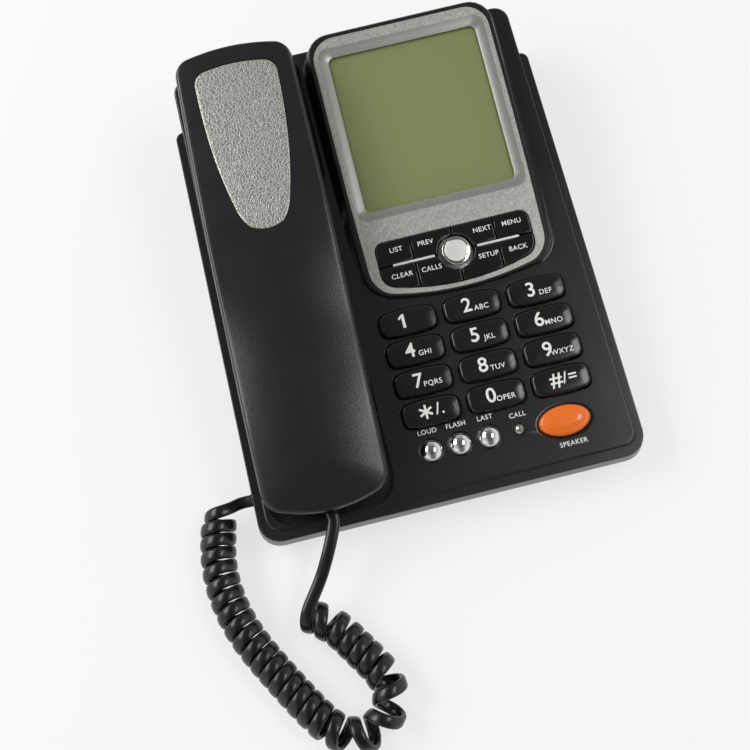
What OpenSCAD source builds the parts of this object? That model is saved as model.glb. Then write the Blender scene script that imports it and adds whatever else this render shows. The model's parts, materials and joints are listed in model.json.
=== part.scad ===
// Corded desk telephone with a large caller display, in millimetres.
// X runs to the right, Y to the rear and Z up. The origin is on the table, under the middle of the case.

/* [Case] */
// Width of the case at its foot
body_w = 176; // [170:1:188]
// Depth of the case from front to rear
body_l = 222; // [222:1:232]
// Height of the top face at the front edge
front_h = 18.5; // [18:0.5:23]
// Slope of the top face in degrees
face_tilt = 6.2; // [5:0.1:7.5]
// Wall thickness of the case mouldings
wall = 2.4; // [2:0.1:2.8]
// Radius of the case corners in plan
corner_r = 10; // [8:1:14]
// Inward lean of the upper walls in degrees
draft = 5; // [2:0.5:6]
// Width of the low flange around the raised face
flange_w = 3.6; // [3:0.1:4]
// Depth of the flange below the face
flange_drop = 1.2; // [0.8:0.1:1.6]
// Length of the narrow rear end, where the flange stops
shoulder_l = 25; // [20:1:30]
// Height of the parting plane between the case halves
part_h = 8; // [7:0.5:9]
// Height of the rubber feet
foot_h = 2; // [1.5:0.5:3]

/* [Display pod] */
// Position of the pod's centre line to the right of the case's middle
pod_x = 27.6; // [26:0.2:30]
// Width of the silver bezel
bezel_w = 84; // [82:0.5:86]
// Length of the silver bezel along the pod
bezel_l = 129.4; // [127:0.2:131]
// Extra slope of the pod over the face in degrees
pod_tilt = 4; // [2.5:0.1:4.5]
// Width of the black rim around the bezel
pod_rim = 2.2; // [1.6:0.1:2.6]
// Width of the visible screen
lcd_w = 70.5; // [66:0.5:72]
// Length of the visible screen
lcd_l = 76.5; // [70:0.5:78]
// Width of the sloping frame around the screen
lcd_slope = 4.4; // [3:0.1:4.6]
// Diameter of the round centre button
centre_d = 13.6; // [12:0.2:15]

/* [Keypad] */
// Distance between key columns
key_dx = 29.6; // [28.6:0.2:30.4]
// Distance between key rows
key_dy = 14.17; // [13.8:0.01:15]
// Width of a key
key_w = 25.8; // [24:0.2:26.2]
// Length of a key at its middle
key_l = 12.2; // [11.4:0.1:12.6]
// Height of a key over the face
key_h = 3; // [2:0.1:4]
// Travel of a keypad key
key_travel = 1.2; // [0.8:0.1:1.4]
// Diameter of the chrome dome buttons
dome_d = 10.4; // [10:0.2:11.2]
// Width of the oval speaker key
speaker_w = 23; // [22:0.5:25]
// Length of the oval speaker key
speaker_l = 13.5; // [12.5:0.5:15]

/* [Handset] */
// Length of the handset
handset_l = 215; // [211:1:217]
// Width of the handset at its ear end
ear_w = 54; // [52:0.5:54.5]
// Width of the handset at the grip
grip_w = 57; // [55:0.5:57]
// Width of the handset at its mouth end
mouth_w = 55; // [53:0.5:55]
// Slight turn of the resting handset in degrees
handset_turn = 1.1; // [0:0.1:1.2]
// Height of the handset's parting plane over the face
handset_part = 11; // [10.5:0.5:12]
// Wall thickness of the handset shells
shell = 2.2; // [1.8:0.1:2.4]

/* [Cord] */
// Width of the flattened cord
cord_w = 4.9; // [4.2:0.1:4.9]
// Thickness of the flattened cord
cord_t = 2.8; // [2.4:0.1:3]
// Mean radius of the curls
curl_r = 6.6; // [6:0.1:6.8]
// Distance from curl to curl where the cord runs straight
curl_pitch = 5.5; // [5.5:0.1:6.2]

/* [Hidden] */
$fn = 48;

// Clearances: around a moving piece, under a seat, and a hair for cuts that pass a surface
slack = 0.3;
seat = 0.1;
past = 1;

// Case: the face plane at the plan centre, and the top outline that the drafted walls lead to
rise = tan(face_tilt);
face_z = front_h + body_l / 2 * rise;
lean = tan(draft);
top_a = body_w / 2 - lean * (face_z - part_h);
top_b = body_l / 2 - 0.8;
top_taper = lean * rise / top_a;
edge_w = 0.9;
edge_h = 0.9;
floor_z = foot_h + wall;
plinth = 1.2;
tuck = 1.8;
corner_steps = 6;

// A flat cap fans out from this point of its ring, which lies on a corner and in line with no other two
fan_from = 7;

// Places along the face are counted from the front edge, and the handset's place from the left edge
front_y = -body_l / 2;
handset_at = [35.7 - body_w / 2, front_y + 113];

// Lengths of the handset's deeper ends
ear_end = 67.5;
mouth_end = 63.5;

// Handset wells in the face: [left, right, front, rear, depth, corner radius]
well_reach = 75;
well_shift = well_reach * tan(handset_turn);
mouth_well = [handset_at.x - well_shift - grip_w / 2 + 1.2, handset_at.x - well_shift + grip_w / 2 + 1,
    handset_at.y - handset_l / 2 - 1.4, handset_at.y - handset_l / 2 + mouth_end - 1, 4, 12];
ear_well = [handset_at.x + well_shift - grip_w / 2, handset_at.x + well_shift + grip_w / 2 + 1,
    handset_at.y + handset_l / 2 - ear_end + 1, handset_at.y + handset_l / 2 - 1.3, 12, 6];

// Display pod: its lower end on the face, heights measured from its own plane
pod_y = front_y + 91;
pod_h = 2;
pod_sag = 6;
pod_skirt = 3.6;
pod_lip = 1.1;
bezel_t = 2;
bezel_sunk = 0.2;
ledge_t = 2;
ledge_z = -bezel_t - bezel_sunk - ledge_t;
lcd_y = 81.8;
lcd_corner = 3;
window_t = 1;
board_t = 1.6;
display_top = -8;
display_a = bezel_w / 2 - 4;
display_y = [3.6, bezel_l - 6.4];

// Menu keys: an opening that narrows to an arc, split into two rows of four
menu_a = 36;
menu_top = 28.2;
menu_bottom = 2.2;
menu_row = 16.5;
menu_col = 19.3;
menu_gap = 0.5;
centre_gap = 1.6;
menu_h = 0.7;
menu_travel = 1;
menu_flange = 0.9;
bar_x = [9.9, 29.4];
bar_w = 1.2;

// Keypad and the row of buttons below it, on the face
key_x = pod_x + 0.5 - key_dx;
key_y = front_y + 81.2;
key_sag = 1.2;
key_corner = 3;
key_gap = 0.5;
ear_t = 0.8;
ear_over = 1.1;
key_low = -wall - slack - ear_t;
dome_x = [pod_x - 33.1, pod_x - 20.1, pod_x - 6.9];
button_y = front_y + 22;
dome_rise = 3.4;
lamp_x = pod_x + 6.6;
lamp_d = 4.6;
speaker_x = pod_x + 26.9;
speaker_y = front_y + 21;
speaker_h = 3.6;
speaker_dish = 2;
mat_low = key_low - key_travel - slack;
mat_top = mat_low - 0.8;
board_top = mat_top - 1.2;
board_x = [pod_x - 45.6, pod_x + 46.4];
board_y = [front_y + 10, front_y + 93.5];
board_post_d = 6;
post_x = [board_x[0] + 4, board_x[1] - 4];
post_y = [board_y[0] + 4, board_y[1] - 2.5];

// Rubber feet, set in from the edges
foot_d = 14;
foot_x = body_w / 2 - 22;
foot_y = [front_y + 19, -front_y - 25];

// Screws that hold the case halves, and the posts that they enter
screw_xy = [[12 - body_w / 2, front_y + 10], [body_w / 2 - 8, front_y + 9], [12 - body_w / 2, -front_y - 14],
    [body_w / 2 - 14, -front_y - 14]];
screw_core = 2.5;
screw_head = 5.6;
post_d = 7.5;

// Sockets: the plug's section and the block that surrounds it
plug_w = 7.7;
plug_h = 6.6;
plug_l = 11;
socket_w = 11;
socket_l = 13;
socket_wall = 1.1;
side_y = front_y + 23;
side_z = floor_z + socket_wall + plug_h / 2 + seat;
line_x = pod_x + 30.4;
line_z = 16;
line_w = 9.8;
line_h = 7;

// Battery box in the lower case
cell_d = 10.4;
cell_l = 44.5;
cell_pitch = 11.4;
battery_x = pod_x + 2.4;
battery_y = -front_y - 45;
box_a = cell_l / 2 + 3;
box_b = cell_pitch * 1.5 + 0.6;
box_wall = 1.8;
door_t = 1.8;
cell_z = foot_h + door_t + slack + cell_d / 2;
box_top = cell_z + cell_d / 2 + slack + box_wall;

// Loudspeaker
speaker_at = [handset_at.x + 4, handset_at.y - 2];
cone_d = 50;
magnet_d = 30;
magnet_h = 15;
slot_w = 3;

// Hook plunger through the floor of the ear well, with its switch below
hook_at = [handset_at.x + 1.3, handset_at.y + handset_l / 2 - 46.5];
hook_top = -ear_well[4] + 0.2;
hook_w = 10;
hook_l = 6;
hook_rise = 3;
hook_collar = -ear_well[4] - wall - slack - hook_rise;
hook_foot = hook_collar - 8;

// Handset, in its own frame: Y along the handset to the ear end, Z over its parting plane
ear_sag = 4;
mouth_sag = 6.3;
end_r = 6;
spine = handset_l / 2 - 24;
ear_t_h = 16;
mouth_t_h = 11.5;
mouth_droop = 0.4;
ear_arch = 0.8;
grip_arch = 3.4;
edge_t = 0.08;
ear_d = handset_part + ear_well[4] - 0.5;
mouth_d = handset_part + mouth_well[4] - 0.4;
grip_d = 8;
shell_draft = 0.15;
outer_steps = [0, 0.004, 0.013, 0.034, 0.08, 0.2, 0.4, 0.65, 0.9];
inner_steps = [0, 0.06, 0.16, 0.34, 0.6, 0.88];
plate_y = [handset_l / 2 - 86.2, handset_l / 2 - 12.7];
plate_a = [10.1, 18.9];
plate_sag = [4, 2.6];
plate_sunk = 1.2;
ear_at = handset_l / 2 - 29.5;
boss_y = handset_l / 2 - ear_end - 10;
boss_d = 6;
mic_at = 25.5 - handset_l / 2;
exit_z = -5.6;
plug_back = 3;
socket_back = 5.6;
relief_l = 2.5;

// Curly cord: hand-chosen points of the coil's axis on the table, and of the two straight leads
coil_route = [[-77, -144], [-71, -146], [-65, -150], [-60, -157], [-55, -165], [-49, -174], [-47, -182.5],
    [-50, -191.5], [-57.5, -197], [-67, -197.5], [-75, -192.5], [-81.5, -183], [-88.5, -171.5], [-95, -160],
    [-101, -149], [-105.5, -137], [-108, -125], [-108.5, -114], [-107, -104], [-105, -96], [-104, -90]];
coil_z = curl_r + cord_t / 2 + 0.3;
lead_bend = [[-60, -122, 21.5], [-67, -133, 17]];
tail_bend = [[-98.5, -90, 12.8]];
lead_straight = 5;
samples = 12;
rings_per_curl = 8;
cord_sides = 6;

// Right half of a rounded rectangle, from its top centre clockwise to its bottom centre
function half_rect(a, y1, y0, r1, r0, m = 1, k = corner_steps, s = 1) = concat(
    [for (i = [0 : m - 1]) [(a - r1) * i / m, y1]],
    [for (i = [0 : k - 1]) [a - r1 + r1 * sin(90 * i / k), y1 - r1 + r1 * cos(90 * i / k)]],
    [for (i = [0 : s - 1]) [a, y1 - r1 + (y0 + r0 - y1 + r1) * i / s]],
    [for (i = [0 : k - 1]) [a - r0 + r0 * cos(90 * i / k), y0 + r0 - r0 * sin(90 * i / k)]],
    [for (i = [0 : m]) [(a - r0) * (1 - i / m), y0]]);

// The whole outline from its right half
function both_halves(h) = concat(h, [for (i = [len(h) - 2 : -1 : 1]) [-h[i].x, h[i].y]]);

// Rounded rectangle whose upper and lower edges bulge by a sag
function barrel(a, b, r, sag, m, k, s) = both_halves([for (p = half_rect(a, b, -b, r, r, m, k, s))
    [p.x, p.y * (1 + sag / b * (1 - pow(p.x / a, 2)))]]);

function ring(outline, z) = [for (p = outline) [p.x, p.y, z]];
function smooth(u) = let (c = min(1, max(0, u))) c * c * (3 - 2 * c);
function unit(v) = v / norm(v);

// A point drawn towards the outline's middle line, which runs along Y to both sides of the centre
function drawn_in(p, half, t) = [p.x * (1 - t), p.y + (min(half, max(-half, p.y)) - p.y) * t];

// Closed skin over a list of rings; a strip cap suits an end ring that isn't flat
module skin(rings, strip = false) {
    n = len(rings[0]);
    last = (len(rings) - 1) * n;
    sides = [for (j = [0 : len(rings) - 2]) for (i = [0 : n - 1])
        let (a = j * n + i, b = j * n + (i + 1) % n) each [[a, b, b + n], [a, b + n, a + n]]];
    cap = strip ? [for (i = [0 : n / 2 - 1]) each (
            i == 0 ? [[0, 1, n - 1]]
            : i == n / 2 - 1 ? [[i, i + 1, i + 2]]
            : [[i, i + 1, n - i - 1], [i, n - i - 1, n - i]])]
        : [[for (i = [0 : n - 1]) (i + fan_from) % n]];
    end_cap = [for (f = cap) [for (i = f) i + last]];
    start_cap = [for (f = cap) [for (k = [len(f) - 1 : -1 : 0]) f[k]]];
    polyhedron(points = [for (r = rings) each r], faces = concat(start_cap, sides, end_cap), convexity = 6);
}

module on_face() {
    translate([0, 0, face_z]) rotate([face_tilt, 0, 0]) children();
}

module on_pod() {
    on_face() translate([pod_x, pod_y, pod_h]) rotate([pod_tilt, 0, 0]) children();
}

module on_handset() {
    on_face() translate([handset_at.x, handset_at.y, handset_part]) rotate([0, 0, -handset_turn]) children();
}

// Upright block between two corners
module block(x, y, z) {
    translate([x[0], y[0], z[0]]) cube([x[1] - x[0], y[1] - y[0], z[1] - z[0]]);
}

module extruded(outline, z) {
    translate([0, 0, z[0]]) linear_extrude(z[1] - z[0]) polygon(outline);
}

// Outlines of the case: the raised panel over its whole depth, and the flange that stops at the shoulders
function panel_outline(a, b, inset) = let (r = corner_r - flange_w)
    both_halves(half_rect(a - flange_w - inset, b - inset, flange_w + inset - b, r, r));
function flange_outline(a, b, inset) =
    both_halves(half_rect(a - inset, b - shoulder_l - inset, inset - body_l / 2, flange_w, corner_r));
function raised(outline, drop) =
    [for (p = outline) [p.x * (1 - p.y * top_taper), p.y, face_z + p.y * rise - drop]];

// Plan of the case at its foot
module foot_plan(inset, z) {
    translate([0, 0, z[0]]) linear_extrude(z[1] - z[0]) {
        polygon(panel_outline(body_w / 2, body_l / 2, inset));
        polygon(flange_outline(body_w / 2, body_l / 2, inset));
    }
}

// Outline of the pod, grown on its sides, rear end and front end
function pod_outline(side, rear, front) = let (a = bezel_w / 2 + side) both_halves([
    for (p = half_rect(a, bezel_l + rear, pod_sag - front, 11, 9, 4, 6, 3))
    [p.x * (0.965 + 0.035 * min(1, max(0, p.y / 60))),
        p.y < bezel_l / 2 ? p.y - pod_sag * (1 - pow(p.x / a, 2)) : p.y]]);
function menu_outline(grow) = let (a = menu_a + grow) both_halves([
    for (p = half_rect(a, menu_top + grow, menu_bottom + pod_sag - grow, 4, 5, 4, 4, 1))
    [p.x, p.y < menu_row ? p.y - pod_sag * (1 - pow(p.x / a, 2)) : p.y]]);

// The pod's points, carried into the face's frame
function pod_ring(outline, z) = [for (p = outline) [pod_x + p.x,
    pod_y + p.y * cos(pod_tilt) - z * sin(pod_tilt), pod_h + p.y * sin(pod_tilt) + z * cos(pod_tilt)]];
function face_ring(outline, h) = [for (p = outline) [pod_x + p.x, pod_y + p.y * cos(pod_tilt), h]];

function key_outline(grow) = barrel(key_w / 2 + grow, key_l / 2 - key_sag + grow, key_corner, key_sag, 3, 4, 1);
function oval(a, b) = [for (i = [0 : 31]) [a * sin(i * 360 / 32), b * cos(i * 360 / 32)]];
function key_place(i) = [key_x + key_dx * (i % 3), key_y - key_dy * floor(i / 3)];

// A handset well, as wide as its cavity plus a margin
module well(w, margin, z) {
    translate([(w[0] + w[1]) / 2, (w[2] + w[3]) / 2, 0])
        extruded(both_halves(half_rect((w[1] - w[0]) / 2 + margin, (w[3] - w[2]) / 2 + margin,
            (w[2] - w[3]) / 2 - margin, w[5] + margin, w[5] + margin)), z);
}

module case_skin() {
    skin([ring(panel_outline(body_w / 2, body_l / 2, 0), part_h), raised(panel_outline(top_a, top_b, 0), edge_h),
        raised(panel_outline(top_a, top_b, edge_w / 4), edge_h / 3), raised(panel_outline(top_a, top_b, edge_w), 0)]);
    skin([ring(flange_outline(body_w / 2, body_l / 2, 0), part_h),
        raised(flange_outline(top_a, top_b, 0), flange_drop + edge_h / 2),
        raised(flange_outline(top_a, top_b, edge_w / 2), flange_drop)]);
}

module case_hollow() {
    skin([ring(panel_outline(body_w / 2, body_l / 2, wall), part_h - past),
        raised(panel_outline(top_a, top_b, wall), wall)]);
    skin([ring(flange_outline(body_w / 2, body_l / 2, wall), part_h - past),
        raised(flange_outline(top_a, top_b, wall), flange_drop + wall)]);
}

module pod_skin() {
    on_face() skin([face_ring(pod_outline(pod_rim + pod_skirt, pod_rim, pod_lip + 0.5), -past),
        pod_ring(pod_outline(pod_rim, pod_rim, pod_lip), -1),
        pod_ring(pod_outline(pod_rim - 0.7, pod_rim - 0.7, pod_lip - 0.4), 0)]);
}

module pod_hollow() {
    inside = pod_outline(-0.6, -0.6, -0.6);
    on_face() skin([face_ring(inside, -3 * wall), pod_ring(inside, ledge_z)]);
}

// Openings in the face for keys, buttons and the lamp
module face_openings() {
    for (i = [0 : 11])
        translate(key_place(i)) extruded(key_outline(key_gap), [-wall - past, past]);
    for (x = dome_x)
        translate([x, button_y, -wall - past]) cylinder(d = dome_d + 2 * slack, h = wall + 2 * past);
    translate([lamp_x, button_y, -wall - past]) cylinder(d = lamp_d + 2 * slack, h = wall + 2 * past);
    translate([speaker_x, speaker_y, 0]) {
        extruded(oval(speaker_w / 2 + slack, speaker_l / 2 + slack), [-wall - past, past]);
        skin([ring(oval(speaker_w / 2 + slack, speaker_l / 2 + slack), -0.9),
            ring(oval(speaker_w / 2 + speaker_dish, speaker_l / 2 + speaker_dish), 0.1)]);
    }
}

// Posts that carry the boards from the underside of the face
module board_posts() {
    for (x = post_x, y = post_y)
        translate([x, y, board_top]) cylinder(d = board_post_d, h = -board_top - wall / 2);
}

module upper_case() {
    color("#1b1c1e") difference() {
        union() {
            difference() {
                union() {
                    case_skin();
                    pod_skin();
                }
                case_hollow();
                pod_hollow();
            }
            intersection() {
                case_skin();
                on_face() {
                    well(mouth_well, wall - seat, [-mouth_well[4] - wall, -wall / 2]);
                    well(ear_well, wall - seat, [-ear_well[4] - wall, -wall / 2]);
                }
            }
            on_face() {
                board_posts();
                for (x = [-9, 9])
                    block([hook_at.x + x - 2, hook_at.x + x + 2], [hook_at.y - 3, hook_at.y + 3],
                        [hook_foot, -ear_well[4] - wall / 2]);
            }
            for (p = screw_xy)
                translate([p.x, p.y, part_h]) cylinder(d = post_d, h = face_z + p.y * rise - part_h - wall / 2);
        }
        on_face() {
            well(mouth_well, 0, [-mouth_well[4], face_z]);
            well(ear_well, 0, [-ear_well[4], face_z]);
            face_openings();
            block([hook_at.x - hook_w / 2 - slack, hook_at.x + hook_w / 2 + slack],
                [hook_at.y - hook_l / 2 - slack, hook_at.y + hook_l / 2 + slack],
                [-ear_well[4] - wall - past, -ear_well[4] + past]);
            for (x = post_x, y = post_y)
                translate([x, y, board_top - past]) cylinder(d = 2, h = past + 4);
        }
        on_pod() {
            extruded(pod_outline(seat, seat, seat), [ledge_z + ledge_t, past]);
            extruded(menu_outline(0), [2 * ledge_z, past]);
            translate([0, lcd_y, 0])
                block([-lcd_w / 2 - 1, lcd_w / 2 + 1], [-lcd_l / 2 - 1, lcd_l / 2 + 1], [2 * ledge_z, past]);
        }
        for (p = screw_xy)
            translate([p.x, p.y, part_h - past]) cylinder(d = screw_core + 0.1, h = past + 5);
        side_opening();
        block([line_x - line_w / 2, line_x + line_w / 2], [body_l / 2 - 8, body_l / 2 + past],
            [line_z - line_h / 2, line_z + line_h / 2]);
    }
}

// Way through the left wall to the cord's socket
module side_opening() {
    block([-body_w / 2 - past, -body_w / 2 + 6], [side_y - plug_w / 2 - slack, side_y + plug_w / 2 + slack],
        [side_z - plug_h / 2 - slack, side_z + plug_h / 2 + slack]);
}

module lower_case() {
    color("#1b1c1e") difference() {
        union() {
            difference() {
                union() {
                    foot_plan(tuck + plinth, [foot_h, floor_z]);
                    foot_plan(tuck, [foot_h + plinth, part_h]);
                }
                foot_plan(tuck + wall, [floor_z, part_h + past]);
            }
            for (p = screw_xy)
                translate([p.x, p.y, foot_h + past]) cylinder(d = post_d, h = part_h - foot_h - past);
            translate([battery_x, battery_y, 0])
                block([-box_a - box_wall, box_a + box_wall], [-box_b - box_wall, box_b + box_wall],
                    [foot_h + past, box_top]);
            block([line_x - 7.5, line_x + 7.5], [body_l / 2 - wall - 18, body_l / 2 - wall - seat],
                [foot_h + 1, line_z - line_h / 2 - socket_wall]);
            difference() {
                translate([speaker_at.x, speaker_at.y, foot_h + 1]) cylinder(d = cone_d + 7, h = wall + 4);
                translate([speaker_at.x, speaker_at.y, foot_h]) cylinder(d = cone_d + 2 + 2 * slack, h = 10);
            }
        }
        for (p = screw_xy) {
            translate([p.x, p.y, foot_h - past]) cylinder(d = screw_head + 0.6, h = past + 3);
            translate([p.x, p.y, foot_h - past]) cylinder(d = 3.2, h = part_h);
        }
        translate([battery_x, battery_y, 0]) {
            block([-box_a, box_a], [-box_b, box_b], [foot_h + door_t, box_top - box_wall]);
            block([-box_a - 0.8, box_a + 0.8], [-box_b - 0.8, box_b + 0.8], [foot_h - past, foot_h + door_t]);
        }
        for (i = [-3 : 3])
            translate([speaker_at.x + 6 * i, speaker_at.y, 0])
                block([-slot_w / 2, slot_w / 2], [3 * abs(i) - 20, 20 - 3 * abs(i)],
                    [foot_h - past, floor_z + past]);
        side_opening();
    }
}

module lcd_bezel() {
    color("#a9acae") on_pod() translate([0, 0, -bezel_sunk]) difference() {
        extruded(pod_outline(0, 0, 0), [-bezel_t, 0]);
        extruded(menu_outline(0), [-bezel_t - past, past]);
        translate([0, lcd_y, 0]) {
            extruded(frame_outline(0), [-bezel_t - past, past]);
            skin([ring(frame_outline(0), -bezel_t + 0.3), ring(frame_outline(lcd_slope), 0.01)]);
        }
    }
}

// Outline of the sloping frame around the screen
function frame_outline(grow) = let (a = lcd_w / 2 + grow, b = lcd_l / 2 + grow, r = lcd_corner + grow / 3)
    both_halves(half_rect(a, b, -b, r, r));

module lcd_window() {
    color([0.8, 0.85, 0.8, 0.4]) on_pod() translate([0, lcd_y, 0])
        block([-lcd_w / 2 - 0.6, lcd_w / 2 + 0.6], [-lcd_l / 2 - 0.6, lcd_l / 2 + 0.6],
            [ledge_z + ledge_t - seat - window_t, ledge_z + ledge_t - seat]);
}

// Liquid-crystal cell on its light guide, held in a frame with four feet
module lcd_panel() {
    top = ledge_z + ledge_t - seat - window_t;
    color("#7f8759") on_pod() translate([0, lcd_y, 0]) {
        block([-lcd_w / 2 - 0.6, lcd_w / 2 + 0.6], [-lcd_l / 2 - 0.6, lcd_l / 2 + 0.6], [ledge_z - 1.6, top]);
        for (x = [-32, 32], y = [-35, 35])
            block([x - 2, x + 2], [y - 2, y + 2], [display_top, ledge_z - 1.2]);
    }
}

module display_board() {
    color("#2f6b3c") on_pod() difference() {
        block([-display_a, display_a], display_y, [display_top - board_t, display_top]);
        translate([0, 36, display_top - 3]) cylinder(d = 5, h = 6);
    }
}

// Centre of a menu key's outer half, for its contact under the mat
function menu_place(i) = [(i % 4 - 1.5) * menu_col, i < 4 ? 22.5 : 9.5];

module menu_mat() {
    color("#cfcfc8") on_pod() difference() {
        union() {
            extruded(menu_outline(1), [display_top, display_top + 0.8]);
            for (i = [0 : 7])
                translate([menu_place(i).x, menu_place(i).y, display_top]) cylinder(d = 5, h = 1.4);
            translate([0, menu_row, display_top]) cylinder(d = 6, h = 1.4);
        }
        for (s = [-1, 1])
            translate([s * (bar_x[0] + bar_x[1]) / 2, menu_row, display_top])
                block([bar_x[0] - bar_x[1] - 1, bar_x[1] - bar_x[0] + 1] / 2, [-1, 1], [-past, 2]);
    }
}

module menu_trim_bars() {
    color("#c9ccce") on_pod()
        for (s = [-1, 1])
            translate([s * (bar_x[0] + bar_x[1]) / 2, menu_row, 0])
                block([bar_x[0] - bar_x[1], bar_x[1] - bar_x[0]] / 2, [-bar_w / 2, bar_w / 2],
                    [display_top, menu_h - 0.1]);
}

module key_mat() {
    color("#cfcfc8") on_face() {
        block([board_x[0] + 9, board_x[1] - 9], [board_y[0] + 2, key_y + 8], [board_top, mat_top]);
        for (i = [0 : 11])
            translate([key_place(i).x, key_place(i).y, board_top]) cylinder(d = 7, h = mat_low - board_top);
        for (x = dome_x)
            translate([x, button_y, board_top]) cylinder(d = 6, h = mat_low - board_top);
        translate([speaker_x, speaker_y, board_top]) cylinder(d = 8, h = mat_low - board_top);
    }
}

module main_board() {
    color("#2f6b3c") on_face() difference() {
        block(board_x, board_y, [board_top - board_t, board_top]);
        for (x = post_x, y = post_y)
            translate([x, y, board_top - 3]) cylinder(d = 2.4, h = 6);
    }
}

module board_screws() {
    color("#b8b8b8") on_face()
        for (x = post_x, y = post_y)
            translate([x, y, board_top - board_t]) rotate([180, 0, 0]) {
                cylinder(d = 4, h = 1.4);
                translate([0, 0, -board_t - 3]) cylinder(d = 1.9, h = board_t + 3.5);
            }
}

// Clear lens over a lamp that stands on the main board
module new_call_lamp() {
    color("#e8e8e4") on_face() translate([lamp_x, button_y, 0]) {
        intersection() {
            translate([0, 0, board_top + 2]) cylinder(d = lamp_d, h = 1 - board_top - 2 + lamp_d / 4);
            translate([0, 0, 2 - lamp_d / 2]) union() {
                sphere(d = lamp_d + 0.6);
                mirror([0, 0, 1]) cylinder(d = lamp_d, h = 12);
            }
        }
        translate([0, 0, mat_top]) cylinder(d = 3, h = 2.4 + board_top - mat_top);
    }
}

// Speaker frame with its magnet, cone down towards the slots
module loudspeaker() {
    color("#4a4a4c") translate([speaker_at.x, speaker_at.y, floor_z]) rotate_extrude()
        polygon([[0, 5], [8, 5], [cone_d / 2 - 4, 1.5], [cone_d / 2 - 2, 0], [cone_d / 2 + 1, 0],
            [cone_d / 2 + 1, 2], [cone_d / 2 - 1, 2.4], [magnet_d / 2 + 1, 7], [magnet_d / 2, magnet_h],
            [0, magnet_h]]);
}

module battery_door() {
    color("#1b1c1e") translate([battery_x, battery_y, 0]) difference() {
        block([-box_a - 0.5, box_a + 0.5], [-box_b - 0.5, box_b + 0.5], [foot_h, foot_h + door_t]);
        for (i = [-2 : 2])
            block([box_a - 8 + 1.6 * i, box_a - 7.2 + 1.6 * i], [-6, 6], [foot_h - past, foot_h + 0.5]);
    }
}

module battery_cells() {
    color("#6d7a86") translate([battery_x, battery_y, cell_z])
        for (i = [-1 : 1])
            translate([-cell_l / 2, i * cell_pitch, 0]) rotate([0, 90, 0]) {
                cylinder(d = cell_d, h = cell_l - 1);
                cylinder(d = 3.8, h = cell_l);
            }
}

module battery_contacts() {
    color("#d5d2c4") translate([battery_x, battery_y, cell_z])
        for (i = [-1 : 1], s = [-1, 1])
            translate([s * (box_a - 0.4), i * cell_pitch, 0])
                block([-0.3, 0.3], [-4.2, 4.2], [-cell_d / 2, cell_d / 2]);
}

module rubber_feet() {
    color("#2a2a2a")
        for (x = [-foot_x, foot_x], y = foot_y)
            translate([x, y, 0]) cylinder(d = foot_d, h = foot_h);
}

module case_screws() {
    color("#8f8f92")
        for (p = screw_xy)
            translate([p.x, p.y, foot_h + 1]) {
                cylinder(d = screw_head, h = 2);
                cylinder(d = screw_core, h = part_h + 4 - foot_h - 1);
            }
}

// Socket block with a cavity that opens towards minus Y
module jack(w, h, l, cavity_w, cavity_h) {
    difference() {
        block([-w / 2, w / 2], [0, l], [-h / 2, h / 2]);
        block([-cavity_w / 2, cavity_w / 2], [-past, l - 2], [-cavity_h / 2, cavity_h / 2]);
    }
}

module line_jack() {
    color("#303033") translate([line_x, body_l / 2 - wall - 1.6, line_z]) rotate([0, 0, 180])
        jack(14, line_h + 2 * socket_wall, 16, line_w, line_h);
}

module base_socket() {
    color("#303033") translate([-body_w / 2 + tuck + wall + 0.9, side_y, side_z]) rotate([0, 0, -90])
        jack(socket_w, plug_h + 2 * socket_wall, socket_l, plug_w + 0.2, plug_h + 0.2);
}

module hook_switch() {
    color("#3c3c40") on_face() translate([hook_at.x, hook_at.y, hook_foot]) {
        block([-12, 12], [-4, 4], [-5, 0]);
        for (x = [-6, 0, 6])
            block([x - 0.5, x + 0.5], [-1, 1], [-7, -5]);
    }
}

// Wire of the plunger's spring, by the formula of a helix
module hook_spring() {
    turns = 4;
    wire = 0.35;
    r = 2.9;
    reach = hook_collar - 1.2 - hook_foot - 2 * wire - slack;
    rings = [for (i = [0 : turns * 12]) let (q = i * 30, e = [cos(q), sin(q), 0])
        [for (k = [0 : 5]) (r + wire * cos(60 * k)) * e
            + [0, 0, wire + seat / 2 + reach * i / (turns * 12) - wire * sin(60 * k)]]];
    color("#b8b8b8") on_face() translate([hook_at.x, hook_at.y, hook_foot]) skin(rings);
}

module hook_plunger() {
    color("#1b1c1e") on_face() translate([hook_at.x, hook_at.y, 0]) {
        block([-hook_w / 2, hook_w / 2], [-hook_l / 2, hook_l / 2], [hook_collar - 1, hook_top]);
        block([-hook_w / 2 - 0.8, hook_w / 2 + 0.8], [-hook_l / 2 - 1.2, hook_l / 2 + 1.2],
            [hook_collar - 1.2, hook_collar]);
        translate([0, 0, hook_foot + 1]) cylinder(d = 4, h = hook_collar - hook_foot - 1.5);
    }
}

// Half width of the handset along its length, over the grip's half width
function handset_width(y) = let (u = 2 * y / handset_l)
    1 + ((ear_w - mouth_w) / 2 * u + ((ear_w + mouth_w) / 2 - grip_w) * u * u) / grip_w;
function handset_outline(inset) = let (a = grip_w / 2 - inset, y1 = handset_l / 2 - ear_sag - inset,
    y0 = mouth_sag + inset - handset_l / 2)
    both_halves([for (p = half_rect(a, y1, y0, end_r, end_r, 4, 5, 14))
        let (y = p.y + (1 - pow(p.x / a, 2)) * (p.y > 0 ? ear_sag * p.y / y1 : -mouth_sag * p.y / y0))
        [p.x * handset_width(y), y]]);

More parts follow.
